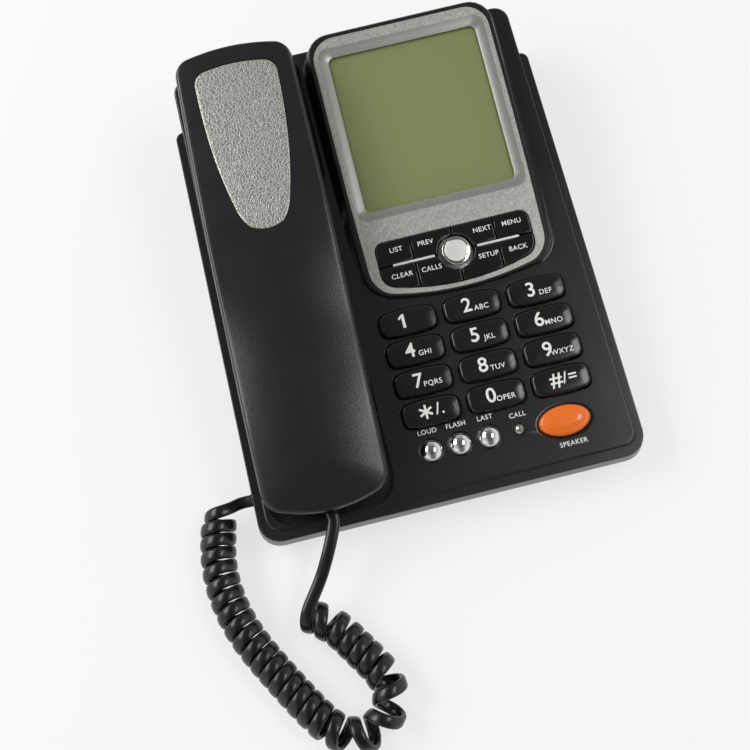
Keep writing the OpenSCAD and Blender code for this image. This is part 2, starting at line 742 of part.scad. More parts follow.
// Crown over the parting plane, how far its back is arched, and depth below the plane, along the handset
function gripped(y) = smooth((30 - y) / 60);
function crown(y) = (ear_t_h + (mouth_t_h - ear_t_h) * gripped(y))
    * (1 - mouth_droop * pow(smooth((mouth_end - 1 - handset_l / 2 - y) / 62), 2));
function arch(y) = ear_arch + (grip_arch - ear_arch) * gripped(y);
function depth(y) = grip_d + (ear_d - grip_d) * smooth((y - handset_l / 2 + ear_end) / 18)
    + (mouth_d - grip_d) * smooth((mouth_end - handset_l / 2 - y) / 16);
function swell(t, e) = pow(1 - pow(1 - t, e), 1 / e);
function back(y, t) = swell(min(1, t / edge_t), 3) * (crown(y) - arch(y)) + arch(y) * t * (2 - t);

function outer_ring(inset, t) = [for (p = handset_outline(inset)) let (q = drawn_in(p, spine, t))
    [q.x, q.y, back(q.y, t) - inset * swell(t, 5)]];
function inner_ring(inset, t) = [for (p = handset_outline(inset)) let (q = drawn_in(p, spine, t),
    z = (depth(q.y) - inset) * swell(t, 5), d = drawn_in(q, spine, 2 * shell_draft * z / grip_w)) [d.x, d.y, -z]];

module handset_outer_shell() {
    count = len(inner_steps);
    color("#1b1c1e") on_handset() difference() {
        union() {
            skin(concat([for (i = [count - 1 : -1 : 0]) outer_ring(shell, inner_steps[i])],
                [for (t = outer_steps) outer_ring(0, t)]), strip = true);
            for (y = [-boss_y, boss_y])
                translate([0, y, shell - grip_d + slack]) cylinder(d = boss_d, h = crown(y) + grip_d - 2 * shell + 0.8);
        }
        extruded(plate_outline(seat), [ear_t_h - plate_sunk, ear_t_h + past]);
        for (y = [-boss_y, boss_y])
            translate([0, y, -grip_d]) cylinder(d = 2.1, h = grip_d + 5);
    }
}

// Sound holes: one in the middle and a ring around it
module sound_holes(y, count, r, d) {
    translate([0, y, -handset_part - 2 * ear_well[4]]) {
        cylinder(d = d, h = 3 * ear_well[4]);
        for (i = [0 : count - 1])
            rotate([0, 0, i * 360 / count]) translate([r, 0, 0]) cylinder(d = d, h = 3 * ear_well[4]);
    }
}

module handset_inner_shell() {
    count = len(inner_steps);
    color("#1b1c1e") on_handset() difference() {
        union() {
            translate([0, 0, -seat]) skin(concat([for (i = [count - 1 : -1 : 0]) inner_ring(0, inner_steps[i])],
                [for (t = inner_steps) inner_ring(shell, t)]), strip = true);
            block([-4, 4], [socket_back + 2 - handset_l / 2, socket_back + socket_l - 2 - handset_l / 2],
                [shell / 2 - mouth_d, exit_z - plug_h / 2 - socket_wall]);
        }
        sound_holes(ear_at, 8, 7, 2.4);
        sound_holes(mic_at, 4, 4, 1.8);
        for (y = [-boss_y, boss_y])
            translate([0, y, -2 * grip_d]) {
                cylinder(d = 2.6, h = 3 * grip_d);
                cylinder(d = 4.6, h = grip_d + 1);
            }
        block([-plug_w / 2 - slack, plug_w / 2 + slack], [-handset_l / 2 - past, -handset_l / 2 + 8],
            [exit_z - plug_h / 2 - slack, exit_z + plug_h / 2 + slack]);
    }
}

function plate_outline(grow) = both_halves([
    for (p = half_rect(plate_a[1] + grow, plate_y[1] + grow, plate_y[0] - grow, 5, 6, 4, 5, 5))
    let (u = min(1, max(0, (p.y - plate_y[0]) / (plate_y[1] - plate_y[0]))))
    [p.x * (1 - (1 - plate_a[0] / plate_a[1]) * pow(1 - u, 2.5)),
        p.y + (u > 0.5 ? plate_sag[1] : -plate_sag[0]) * (1 - pow(p.x / plate_a[1], 2))]]);

module handset_plate() {
    mid = (plate_y[0] + plate_y[1]) / 2;
    edge = plate_outline(0);
    color("#b4b6b7") on_handset()
        skin([ring(edge, ear_t_h - plate_sunk), ring(edge, ear_t_h - 0.5),
            [for (p = edge) let (q = drawn_in([p.x, p.y - mid], 20, 0.05)) [q.x, q.y + mid, ear_t_h - 0.1]],
            [for (p = edge) let (q = drawn_in([p.x, p.y - mid], 20, 0.3)) [q.x, q.y + mid, ear_t_h + 0.1]]]);
}

module receiver_capsule() {
    color("#55565a") on_handset() translate([0, ear_at, shell - ear_d + 0.4]) rotate_extrude()
        polygon([[0, 0], [11, 0], [13, 1.5], [13, 6], [10, 8.5], [0, 8.5]]);
}

module microphone_capsule() {
    color("#3a3a3c") on_handset() translate([0, mic_at, shell - mouth_d + 0.4]) {
        cylinder(d = 11, h = 3);
        cylinder(d = 9.4, h = 6);
    }
}

module handset_weight() {
    color("#7d7f82") on_handset()
        block([-8, 8], [boss_d - boss_y, boss_y - boss_d], [shell - grip_d + 0.2, shell - grip_d + 5]);
}

module handset_screws() {
    color("#8f8f92") on_handset()
        for (y = [-boss_y, boss_y])
            translate([0, y, 1 - grip_d]) {
                translate([0, 0, -1]) cylinder(d = 4, h = 1);
                cylinder(d = 2, h = 7);
            }
}

module handset_socket() {
    color("#303033") on_handset() translate([0, socket_back - handset_l / 2, exit_z])
        jack(socket_w, plug_h + 2 * socket_wall, socket_l, plug_w + 0.2, plug_h + 0.2);
}

// Domed keypad key with two retaining ears under the face
module keypad_key(i) {
    soft = [[0, key_h - 1.1], [0.05, key_h - 0.45], [0.16, key_h - 0.1], [0.45, key_h]];
    edge = key_outline(0);
    color("#242528") on_face() translate(key_place(i)) {
        skin(concat([ring(edge, key_low)],
            [for (s = soft) [for (p = edge) let (q = drawn_in(p, key_w / 2 - key_l / 2, s[0])) [q.x, q.y, s[1]]]]));
        block([-key_w / 2 - ear_over, key_w / 2 + ear_over], [-2.5, 2.5], [key_low, key_low + ear_t]);
    }
}

// Cell of a menu key between the row line, the column lines and the centre button
module menu_cell(i) {
    col = i % 4 - 2;
    x0 = col == -2 ? -2 * menu_a : col * menu_col + menu_gap / 2;
    x1 = col == 1 ? 2 * menu_a : (col + 1) * menu_col - menu_gap / 2;
    difference() {
        translate([x0, i < 4 ? menu_row + menu_gap / 2 : -menu_top])
            square([x1 - x0, 2 * menu_top]);
        if (i >= 4)
            translate([-2 * menu_a, menu_row - menu_gap / 2]) square([4 * menu_a, 3 * menu_top]);
        translate([0, menu_row]) circle(r = centre_d / 2 + centre_gap);
        for (s = [-1, 1])
            translate([s * (bar_x[0] + bar_x[1]) / 2, menu_row])
                square([bar_x[1] - bar_x[0] + 2 * slack, bar_w + 2 * slack], center = true);
    }
}

module menu_key(i) {
    color("#141416") on_pod() {
        translate([0, 0, ledge_z - slack]) linear_extrude(menu_h - ledge_z + slack) intersection() {
            polygon(menu_outline(-slack));
            menu_cell(i);
        }
        translate([0, 0, ledge_z - slack - menu_flange]) linear_extrude(menu_flange) intersection() {
            polygon(menu_outline(0.8));
            menu_cell(i);
        }
    }
}

module centre_button() {
    r = centre_d / 2;
    low = ledge_z - slack - menu_flange;
    flange = r + centre_gap - 1.3 * slack;
    color("#c4c7c9") on_pod() translate([0, menu_row, 0]) rotate_extrude()
        polygon([[0, low], [flange, low], [flange, low + menu_flange], [r, low + menu_flange], [r, 0.5], [r - 0.5, 1.1],
            [r - 1.6, 1.3], [r - 2, 0.9], [0, 1.1]]);
}

module dome_button(i) {
    r = dome_d / 2;
    ball = (r * r + dome_rise * dome_rise) / (2 * dome_rise);
    color("#d8dadb") on_face() translate([dome_x[i], button_y, 0]) {
        intersection() {
            translate([0, 0, key_low + seat]) cylinder(r = r, h = dome_rise - key_low);
            translate([0, 0, dome_rise - ball]) union() {
                sphere(r = ball);
                mirror([0, 0, 1]) cylinder(r = r, h = 10);
            }
        }
        translate([0, 0, key_low]) cylinder(r = r + 0.7, h = ear_t);
    }
}

module speaker_key() {
    a = speaker_w / 2;
    b = speaker_l / 2;
    color("#ef7a22") on_face() translate([speaker_x, speaker_y, 0]) {
        skin([ring(oval(a, b), key_low), ring(oval(a, b), speaker_h - 1.8), ring(oval(a - 0.3, b - 0.3), speaker_h - 1),
            ring(oval(a - 1.4, b - 1.4), speaker_h - 0.4), ring(oval(a - 5, b - 4), speaker_h)]);
        block([-a - ear_over, a + ear_over], [-2.5, 2.5], [key_low, key_low + ear_t]);
    }
}

// Plug with its latch, seated in a socket that opens towards minus Y; the cord leaves through its end
module plug() {
    block([-plug_w / 2, plug_w / 2], [0, plug_l], [-plug_h / 2, plug_h / 2]);
    block([-2.8, 2.8], [-relief_l, 1], [-1.8, 1.8]);
}

module base_plug() {
    color("#17171a") translate([relief_l - slack - body_w / 2, side_y, side_z]) rotate([0, 0, -90]) plug();
}

module handset_plug() {
    color("#17171a") on_handset() translate([0, plug_back - handset_l / 2, exit_z]) plug();
}

// Catmull-Rom point on a list, at a real index
function along(p, u) = let (last = len(p) - 1, i = min(last - 1, floor(u)), t = u - i,
    a = p[max(0, i - 1)], b = p[i], c = p[i + 1], d = p[min(last, i + 2)])
    b + t / 2 * (c - a + t * (2 * a - 5 * b + 4 * c - d + t * (3 * b - a - 3 * c + d)));
// Point of a smooth curve that follows a list of points, at a real index
function near(p, u) = let (last = len(p) - 1, i = min(last - 1, floor(u)), t = u - i, w = 1 - t,
    a = p[max(0, i - 1)], b = p[i], c = p[i + 1], d = p[min(last, i + 2)])
    (pow(w, 3) * a + (3 * pow(t, 3) - 6 * t * t + 4) * b + (3 * pow(w, 3) - 6 * w * w + 4) * c + pow(t, 3) * d) / 6;
function mixed(p, u) = let (i = min(len(p) - 2, floor(u))) p[i] + (p[i + 1] - p[i]) * (u - i);
function summed(v) = [for (i = 0, s = 0; i < len(v); s = s + v[i], i = i + 1) s];

// The coil's axis in even small steps, its direction and its curvature
axis = [for (i = [0 : (len(coil_route) - 1) * samples]) near(coil_route, i / samples)];
axis_dir = [for (i = [0 : len(axis) - 1]) unit(axis[min(len(axis) - 1, i + 1)] - axis[max(0, i - 1)])];
axis_step = [for (i = [0 : len(axis) - 2]) norm(axis[i + 1] - axis[i])];
axis_turn = [for (i = [0 : len(axis) - 2]) norm(axis_dir[i + 1] - axis_dir[i]) / axis_step[i]];
tightest = 1 / max(axis_turn);

// Turn by turn along the axis, opened out where it bends so that the inner sides stay apart
inner_side = curl_r + cord_t / 2;
turn_rate = [for (i = [0 : len(axis_step) - 1]) axis_step[i] * (1 - inner_side * axis_turn[i]) / curl_pitch];
turn_sum = concat(summed(turn_rate), [summed(concat(turn_rate, [0]))[len(turn_rate)]]);
curls = floor(turn_sum[len(turn_rate)]);
turn_table = [for (i = [0 : len(turn_sum) - 1]) [turn_sum[i] * curls / turn_sum[len(turn_rate)], i]];

// Rings of the coil: [centre, thin direction, wide direction]
function coil_frame(k) = let (u = lookup(k / rings_per_curl, turn_table), q = 90 + 360 * k / rings_per_curl,
    c = mixed(axis, u), f = unit(mixed(axis_dir, u)), thin = [-f.y * cos(q), f.x * cos(q), sin(q)])
    [[c.x, c.y, coil_z] + curl_r * thin, thin, [f.x, f.y, 0]];
coil = [for (k = [0 : curls * rings_per_curl]) coil_frame(k)];

// Rings of a straight lead through points, flat side up
function lead_frames(p, count) = [for (i = [0 : count]) let (u = i * (len(p) - 1) / count,
    t = unit(along(p, min(len(p) - 1, u + 0.01)) - along(p, max(0, u - 0.01))),
    wide = unit(cross([0, 0, 1], t))) [along(p, u), cross(t, wide), wide]];

function face_point(p) = [p.x, p.y * cos(face_tilt) - p.z * sin(face_tilt),
    face_z + p.y * sin(face_tilt) + p.z * cos(face_tilt)];
function handset_point(p) = face_point([handset_at.x + p.x * cos(handset_turn) + p.y * sin(handset_turn),
    handset_at.y - p.x * sin(handset_turn) + p.y * cos(handset_turn), handset_part + p.z]);
lead_start = [for (d = [0, lead_straight])
    handset_point([0, plug_back - relief_l - slack - d - handset_l / 2, exit_z])];
tail_end = [for (d = [lead_straight, 0]) [-body_w / 2 - slack - d, side_y, side_z]];
lead = lead_frames(concat(lead_start, lead_bend, [coil[0][0]]), 10);
tail = lead_frames(concat([coil[len(coil) - 1][0]], tail_bend, tail_end), 8);
cord = concat([for (i = [0 : len(lead) - 2]) lead[i]], coil, [for (i = [1 : len(tail) - 1]) tail[i]]);

function cord_ring(f) = [for (k = [0 : cord_sides - 1]) let (q = 360 * k / cord_sides + 30)
    f[0] + cord_t / 2 * cos(q) * f[1] + cord_w / 2 * sin(q) * f[2]];
cord_rings = [for (f = cord) cord_ring(f)];

module curly_cord() {
    color("#121214") skin(cord_rings);
}

// Least gap between neighbouring curls, on the rings' points, and the cord's length
function ring_gap(a, b) = min([for (p = a, q = b) norm(p - q)]);
neighbour_gap = min([for (i = [0 : len(cord_rings) - rings_per_curl - 4], d = [5 : 11])
    if (i + d < len(cord_rings)) ring_gap(cord_rings[i], cord_rings[i + d])]);
far_gap = min([for (i = [0 : 2 : len(cord) - 20], j = [i + 16 : 2 : len(cord) - 1])
    norm(cord[i][0] - cord[j][0])]) - cord_w;
cord_length = summed(concat([for (i = [0 : len(cord) - 2]) norm(cord[i + 1][0] - cord[i][0])], [0]))[len(cord) - 1];
echo(curls = curls, tightest_bend = tightest, neighbour_gap = neighbour_gap, far_gap = far_gap,
    cord_length = cord_length);

upper_case();
lower_case();
lcd_bezel();
lcd_window();
lcd_panel();
display_board();
menu_mat();
menu_trim_bars();
key_mat();
main_board();
board_screws();
new_call_lamp();
loudspeaker();
battery_door();
battery_cells();
battery_contacts();
rubber_feet();
case_screws();
line_jack();
base_socket();
hook_switch();
hook_spring();
hook_plunger();
handset_outer_shell();
handset_inner_shell();
handset_plate();
receiver_capsule();
microphone_capsule();
handset_weight();
handset_screws();
handset_socket();
keypad_key(0);  // key_1
keypad_key(1);  // key_2
keypad_key(2);  // key_3
keypad_key(3);  // key_4
keypad_key(4);  // key_5
keypad_key(5);  // key_6
keypad_key(6);  // key_7
keypad_key(7);  // key_8
keypad_key(8);  // key_9
keypad_key(9);  // key_star
keypad_key(10);  // key_0
keypad_key(11);  // key_hash
menu_key(0);  // menu_key_1
menu_key(1);  // menu_key_2
menu_key(2);  // menu_key_3
menu_key(3);  // menu_key_4
menu_key(4);  // menu_key_5
menu_key(5);  // menu_key_6
menu_key(6);  // menu_key_7
menu_key(7);  // menu_key_8
centre_button();
dome_button(0);  // volume_button
dome_button(1);  // flash_button
dome_button(2);  // redial_button
speaker_key();
base_plug();
handset_plug();
curly_cord();
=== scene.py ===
import json
import math

import bmesh
import bpy
from mathutils import Matrix, Vector
from mathutils.bvhtree import BVHTree


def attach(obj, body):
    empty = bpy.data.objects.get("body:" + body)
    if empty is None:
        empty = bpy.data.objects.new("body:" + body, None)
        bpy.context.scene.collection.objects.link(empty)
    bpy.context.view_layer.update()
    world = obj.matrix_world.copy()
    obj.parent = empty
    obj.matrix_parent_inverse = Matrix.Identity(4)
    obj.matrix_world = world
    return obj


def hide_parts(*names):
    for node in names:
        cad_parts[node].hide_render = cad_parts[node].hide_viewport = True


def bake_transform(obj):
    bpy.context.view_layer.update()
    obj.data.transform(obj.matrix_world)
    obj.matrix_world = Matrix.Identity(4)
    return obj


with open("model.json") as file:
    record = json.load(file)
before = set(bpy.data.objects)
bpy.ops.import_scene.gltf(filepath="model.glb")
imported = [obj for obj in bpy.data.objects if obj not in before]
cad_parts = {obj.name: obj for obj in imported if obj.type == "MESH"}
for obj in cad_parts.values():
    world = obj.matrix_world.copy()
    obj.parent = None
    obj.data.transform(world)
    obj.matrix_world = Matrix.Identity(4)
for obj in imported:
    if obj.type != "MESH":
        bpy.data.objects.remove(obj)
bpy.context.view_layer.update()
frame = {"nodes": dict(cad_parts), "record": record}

MM = 0.001
scene = bpy.context.scene
scene.view_settings.view_transform = "Standard"

# Camera: the photograph's viewpoint over the resting telephone
IMAGE_PX = 750
FOCAL_PX = 1200
SENSOR_MM = 36
CAMERA_AT = Vector((-37.95, -220.34, 531.48)) * MM
CAMERA_RIGHT = Vector((0.97116, -0.23365, -0.04742))
CAMERA_UP = Vector((0.23645, 0.91839, 0.31726))


def make_camera():
    data = bpy.data.cameras.new("photo_camera")
    data.sensor_width = SENSOR_MM
    data.lens = FOCAL_PX * SENSOR_MM / IMAGE_PX
    data.clip_start = 0.01
    camera = bpy.data.objects.new("photo_camera", data)
    turn = Matrix((CAMERA_RIGHT, CAMERA_UP, CAMERA_RIGHT.cross(CAMERA_UP))).transposed()
    camera.matrix_world = Matrix.Translation(CAMERA_AT) @ turn.to_4x4()
    scene.collection.objects.link(camera)
    scene.camera = camera


make_camera()

# Sizes of the case in millimetres: the sloping face, the pod on it and the resting handset
BODY_W = 176
BODY_L = 222
FRONT_H = 18.5
FACE_TILT = 6.2
FRONT_Y = -BODY_L / 2
POD_X = 27.6
POD_Y = FRONT_Y + 91
POD_H = 2
POD_TILT = 4
HANDSET_L = 215
HANDSET_AT = (35.7 - BODY_W / 2, FRONT_Y + 113)
HANDSET_TURN = 1.1
HANDSET_PART = 11
FOOT_H = 2
SLACK = 0.3


def tilt(degrees):
    return Matrix.Rotation(math.radians(degrees), 4, "X")


FACE_MIDDLE_H = FRONT_H + BODY_L / 2 * math.tan(math.radians(FACE_TILT))
FACE = Matrix.Translation((0, 0, FACE_MIDDLE_H)) @ tilt(FACE_TILT)
POD = FACE @ Matrix.Translation((POD_X, POD_Y, POD_H)) @ tilt(POD_TILT)
HANDSET = (FACE @ Matrix.Translation((*HANDSET_AT, HANDSET_PART))
           @ Matrix.Rotation(math.radians(-HANDSET_TURN), 4, "Z"))
TABLE = Matrix.Identity(4)


# Outlines and lofts, in millimetres
def half_rect(a, top, low, top_r, low_r, across, corner, side):
    """Right half of a rounded rectangle, from its top centre clockwise to its bottom centre.

    The last three values are the steps along an end, around a corner and down the side.
    """
    quarter = [math.radians(90 * i / corner) for i in range(corner)]
    drop = low + low_r - top + top_r
    return ([((a - top_r) * i / across, top) for i in range(across)]
            + [(a - top_r + top_r * math.sin(q), top - top_r + top_r * math.cos(q))
               for q in quarter]
            + [(a, top - top_r + drop * i / side) for i in range(side)]
            + [(a - low_r + low_r * math.cos(q), low + low_r - low_r * math.sin(q))
               for q in quarter]
            + [((a - low_r) * (1 - i / across), low) for i in range(across + 1)])


def both_halves(half):
    return half + [(-x, y) for x, y in half[-2:0:-1]]


def barrel(a, b, r, sag, across, corner, side):
    """Rounded rectangle whose upper and lower edges bulge by a sag."""
    half = half_rect(a, b, -b, r, r, across, corner, side)
    return both_halves([(x, y * (1 + sag / b * (1 - (x / a) ** 2))) for x, y in half])


def oval(a, b, sides):
    turns = [math.tau * i / sides for i in range(sides)]
    return [(a * math.sin(q), b * math.cos(q)) for q in turns]


def at_height(outline, z):
    return [(x, y, z) for x, y in outline]


def drawn_in(p, half, t):
    """A point drawn towards the outline's middle line, which runs along Y about the centre."""
    x, y = p
    return x * (1 - t), y + (min(half, max(-half, y)) - y) * t


def drawn_across(p, half, t):
    """The same towards a middle line that runs along X."""
    y, x = drawn_in((p[1], p[0]), half, t)
    return x, y


def smooth(u):
    c = min(1, max(0, u))
    return c * c * (3 - 2 * c)


def loft(rings, place):
    """Closed mesh over rings of points, with a strip of faces across each end ring."""
    bm = bmesh.new()
    rows = [[bm.verts.new(place @ Vector(p) * MM) for p in ring] for ring in rings]
    count = len(rows[0])
    for low, high in zip(rows, rows[1:]):
        for i in range(count):
            j = (i + 1) % count
            bm.faces.new((low[i], low[j], high[j], high[i]))
    for row in (rows[0], rows[-1]):
        for i in range(count // 2):
            corners = (row[i], row[i + 1], row[-i - 1], row[-i])
            bm.faces.new(list(dict.fromkeys(corners)))
    bmesh.ops.recalc_face_normals(bm, faces=bm.faces)
    return bm


def shaded(bm, crease):
    """Smooth shading, with the edges sharper than the crease angle kept hard."""
    for face in bm.faces:
        face.smooth = True
    for edge in bm.edges:
        edge.smooth = edge.calc_face_angle(0) < math.radians(crease)


def piece(name, bm, body, material, nodes=(), crease=50, even=True):
    """Object from a mesh, riding on a body, with a finish, in place of CAD nodes."""
    shaded(bm, crease)
    mesh = bpy.data.meshes.new(name)
    bm.to_mesh(mesh)
    bm.free()
    mesh.materials.append(material)
    made = bpy.data.objects.new(name, mesh)
    scene.collection.objects.link(made)
    if even:
        normals = made.modifiers.new("even_normals", "WEIGHTED_NORMAL")
        normals.keep_sharp = True
        normals.weight = 90
    if body:
        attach(made, body)
    if nodes:
        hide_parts(*nodes)
    return made


# Curly cord: the route of part.scad, with finer rings
CORD_SWOLLEN_W = 5.5
CORD_SQUARENESS = 2.6
CORD_T = 2.8
CURL_R = 6.6
CURL_PITCH = 5.5
COIL_ROUTE = [(-77, -144), (-71, -146), (-65, -150), (-60, -157), (-55, -165), (-49, -174),
              (-47, -182.5), (-50, -191.5), (-57.5, -197), (-67, -197.5), (-75, -192.5),
              (-81.5, -183), (-88.5, -171.5), (-95, -160), (-101, -149), (-105.5, -137),
              (-108, -125), (-108.5, -114), (-107, -104), (-105, -96), (-104, -90)]
LEAD_BEND = [(-60, -122, 21.5), (-67, -133, 17)]
TAIL_BEND = [(-98.5, -90, 12.8)]
TABLE_GAP = 0.3
COIL_Z = CURL_R + CORD_T / 2 + TABLE_GAP
LEAD_STRAIGHT = 5
SAMPLES = 12
RINGS_PER_CURL = 18
LEAD_RINGS = 30
TAIL_RINGS = 24
CORD_SIDES = 16
# Where leads and coil meet: the reach in rings and the passes that ease the line and the flat side
EASED_LINE = (9, 12)
EASED_SIDE = (10, 16)
EXIT_Z = -5.6
PLUG_BACK = 3
RELIEF_L = 2.5
PLUG_H = 6.6
SOCKET_WALL = 1.1
SEAT = 0.1
WALL = 2.4
SIDE_Y = FRONT_Y + 23
SIDE_Z = FOOT_H + WALL + SOCKET_WALL + PLUG_H / 2 + SEAT


def four_around(points, u):
    """The four points around a real index, and the share of the way between the middle two."""
    last = len(points) - 1
    i = min(last - 1, int(u))
    return points[max(0, i - 1)], points[i], points[i + 1], points[min(last, i + 2)], u - i


def along(points, u):
    """Point of a smooth curve through a list of points, at a real index."""
    a, b, c, d, t = four_around(points, u)
    return b + t / 2 * (c - a + t * (2 * a - 5 * b + 4 * c - d + t * (3 * b - a - 3 * c + d)))


def near(points, u):
    """Point of a smoother curve that only follows a list of points, at a real index."""
    a, b, c, d, t = four_around(points, u)
    w = 1 - t
    return (w**3 * a + (3 * t**3 - 6 * t * t + 4) * b
            + (3 * w**3 - 6 * w * w + 4) * c + t**3 * d) / 6


def mixed(points, u):
    i = min(len(points) - 2, int(u))
    return points[i].lerp(points[i + 1], u - i)


def coil_points():
    """Centres of the curls and the directions across the cord's flat side."""
    route = [Vector(p) for p in COIL_ROUTE]
    axis = [near(route, i / SAMPLES) for i in range((len(route) - 1) * SAMPLES + 1)]
    last = len(axis) - 1
    heading = [(axis[min(last, i + 1)] - axis[max(0, i - 1)]).normalized()
               for i in range(last + 1)]
    inner_side = CURL_R + CORD_T / 2
    turned = [0.0]
    for i in range(last):
        step = (axis[i + 1] - axis[i]).length
        bend = (heading[i + 1] - heading[i]).length / step
        turned.append(turned[-1] + step * (1 - inner_side * bend) / CURL_PITCH)
    curls = int(turned[-1])
    turned = [t * curls / turned[-1] for t in turned]
    centres, wides = [], []
    i = 0
    for k in range(curls * RINGS_PER_CURL + 1):
        turn = k / RINGS_PER_CURL
        while i < last - 1 and turned[i + 1] < turn:
            i += 1
        u = i + min(1, (turn - turned[i]) / (turned[i + 1] - turned[i]))
        c = mixed(axis, u)
        f = mixed(heading, u).normalized()
        q = math.radians(90 + 360 * turn)
        centres.append(Vector((c.x - f.y * math.cos(q) * CURL_R,
                               c.y + f.x * math.cos(q) * CURL_R,
                               COIL_Z + CURL_R * math.sin(q))))
        wides.append(Vector((f.x, f.y, 0)))
    return centres, wides


def lead_points(points, count):
    """Centres of a straight lead and the directions across its flat side."""
    last = len(points) - 1
    centres, wides = [], []
    for i in range(count + 1):
        u = i * last / count
        centres.append(along(points, u))
        ahead = along(points, min(last, u + 0.01)) - along(points, max(0, u - 0.01))
        wides.append(Vector((0, 0, 1)).cross(ahead).normalized())
    return centres, wides


def eased(values, middle, reach, passes):
    """Values with the stretch around one index smoothed, most in its middle."""
    values = list(values)
    for _ in range(passes):
        before = list(values)
        for i in range(max(1, middle - reach), min(len(values) - 1, middle + reach + 1)):
            share = 0.5 * (1 - (abs(i - middle) / (reach + 1)) ** 2)
            values[i] = before[i].lerp((before[i - 1] + before[i + 1]) / 2, share)
    return values


def full(c):
    """A cosine or sine drawn out towards a fuller, squarer oval."""
    return math.copysign(abs(c) ** (2 / CORD_SQUARENESS), c)


def cord_rings():
    """Centres of the whole cord from the handset to the base, and its section around each."""
    coil, coil_wide = coil_points()
    plug_end = PLUG_BACK - RELIEF_L - SLACK - HANDSET_L / 2
    start = [HANDSET @ Vector((0, plug_end - d, EXIT_Z)) for d in (0, LEAD_STRAIGHT)]
    end = [Vector((-BODY_W / 2 - SLACK - d, SIDE_Y, SIDE_Z)) for d in (LEAD_STRAIGHT, 0)]
    lead_bend = [Vector(p) for p in LEAD_BEND]
    tail_bend = [Vector(p) for p in TAIL_BEND]
    lead, lead_wide = lead_points(start + lead_bend + [coil[0]], LEAD_RINGS)
    tail, tail_wide = lead_points([coil[-1]] + tail_bend + end, TAIL_RINGS)
    centres = lead[:-1] + coil + tail[1:]
    wides = lead_wide[:-1] + coil_wide + tail_wide[1:]
    for joint in (len(lead) - 1, len(centres) - len(tail)):
        centres = eased(centres, joint, *EASED_LINE)
        wides = eased(wides, joint, *EASED_SIDE)
    rings = []
    last = len(centres) - 1
    angles = [math.tau * k / CORD_SIDES for k in range(CORD_SIDES)]
    section = [(full(math.cos(q)), full(math.sin(q))) for q in angles]
    for i, centre in enumerate(centres):
        ahead = (centres[min(last, i + 1)] - centres[max(0, i - 1)]).normalized()
        wide = (wides[i] - ahead * wides[i].dot(ahead)).normalized()
        thin = ahead.cross(wide)
        rings.append([centre + thin * (CORD_T / 2 * x) + wide * (CORD_SWOLLEN_W / 2 * y)
                      for x, y in section])
    return centres, rings


# Materials
def linear(code):
    """Linear colour from an sRGB hex code."""
    parts = [int(code[i:i + 2], 16) / 255 for i in (1, 3, 5)]
    return (*[c / 12.92 if c <= 0.04045 else ((c + 0.055) / 1.055) ** 2.4 for c in parts], 1)


def add(tree, kind, inputs=None, **settings):
    """A node with its settings, and its inputs set or linked."""
    made = tree.nodes.new(kind)
    for key, value in settings.items():
        setattr(made, key, value)
    for key, value in (inputs or {}).items():
        if isinstance(value, bpy.types.NodeSocket):
            tree.links.new(value, made.inputs[key])
        else:
            made.inputs[key].default_value = value
    return made


def finish(name, code, roughness, metallic=0.0, **sockets):
    """Material with its colour and gloss, its tree, its shader and its coordinates in metres."""
    material = bpy.data.materials.new(name)
    material.use_nodes = True
    tree = material.node_tree
    shader = tree.nodes["Principled BSDF"]
    shader.inputs["Base Color"].default_value = linear(code)
    shader.inputs["Roughness"].default_value = roughness
    shader.inputs["Metallic"].default_value = metallic
    for key, value in sockets.items():
        shader.inputs[key.replace("_", " ")].default_value = value
    place = add(tree, "ShaderNodeTexCoord").outputs["Object"]
    return material, tree, shader, place


def per(size_mm):
    """Texture scale that repeats at a real size."""
    return 1 / (size_mm * MM)


def grain(tree, shader, place, size_mm, depth_mm, strength):
    """Fine bump of a given grain size."""
    noise = add(tree, "ShaderNodeTexNoise", {"Vector": place, "Scale": per(size_mm), "Detail": 2})
    bump = add(tree, "ShaderNodeBump", {"Height": noise.outputs["Fac"], "Strength": strength,
                                        "Distance": depth_mm * MM})
    tree.links.new(bump.outputs["Normal"], shader.inputs["Normal"])


def varied(tree, shader, place, size_mm, low, high):
    """A soft, slow variation of the gloss over the surface."""
    noise = add(tree, "ShaderNodeTexNoise", {"Vector": place, "Scale": per(size_mm), "Detail": 3})
    span = add(tree, "ShaderNodeMapRange", {"Value": noise.outputs["Fac"], "To Min": low,
                                            "To Max": high})
    tree.links.new(span.outputs["Result"], shader.inputs["Roughness"])


def satin_abs(name, code, roughness, depth_mm=0.05):
    """ABS moulded against a spark-eroded tool: dark, its sheen broken up by a fine even grain."""
    material, tree, shader, place = finish(name, code, roughness, IOR=1.52)
    # The real grain is about 0.4 mm wide; it is drawn coarser and deeper, so that it shows
    grain(tree, shader, place, size_mm=0.9, depth_mm=depth_mm, strength=0.55)
    varied(tree, shader, place, size_mm=18, low=roughness - 0.05, high=roughness + 0.05)
    return material


def polished_abs(name, code, roughness):
    """ABS from a polished tool: deep black, clear edge highlights and a trace of handling haze."""
    material, tree, shader, place = finish(name, code, roughness, IOR=1.52)
    grain(tree, shader, place, size_mm=1.6, depth_mm=0.02, strength=0.06)
    varied(tree, shader, place, size_mm=9, low=roughness - 0.04, high=roughness + 0.06)
    return material


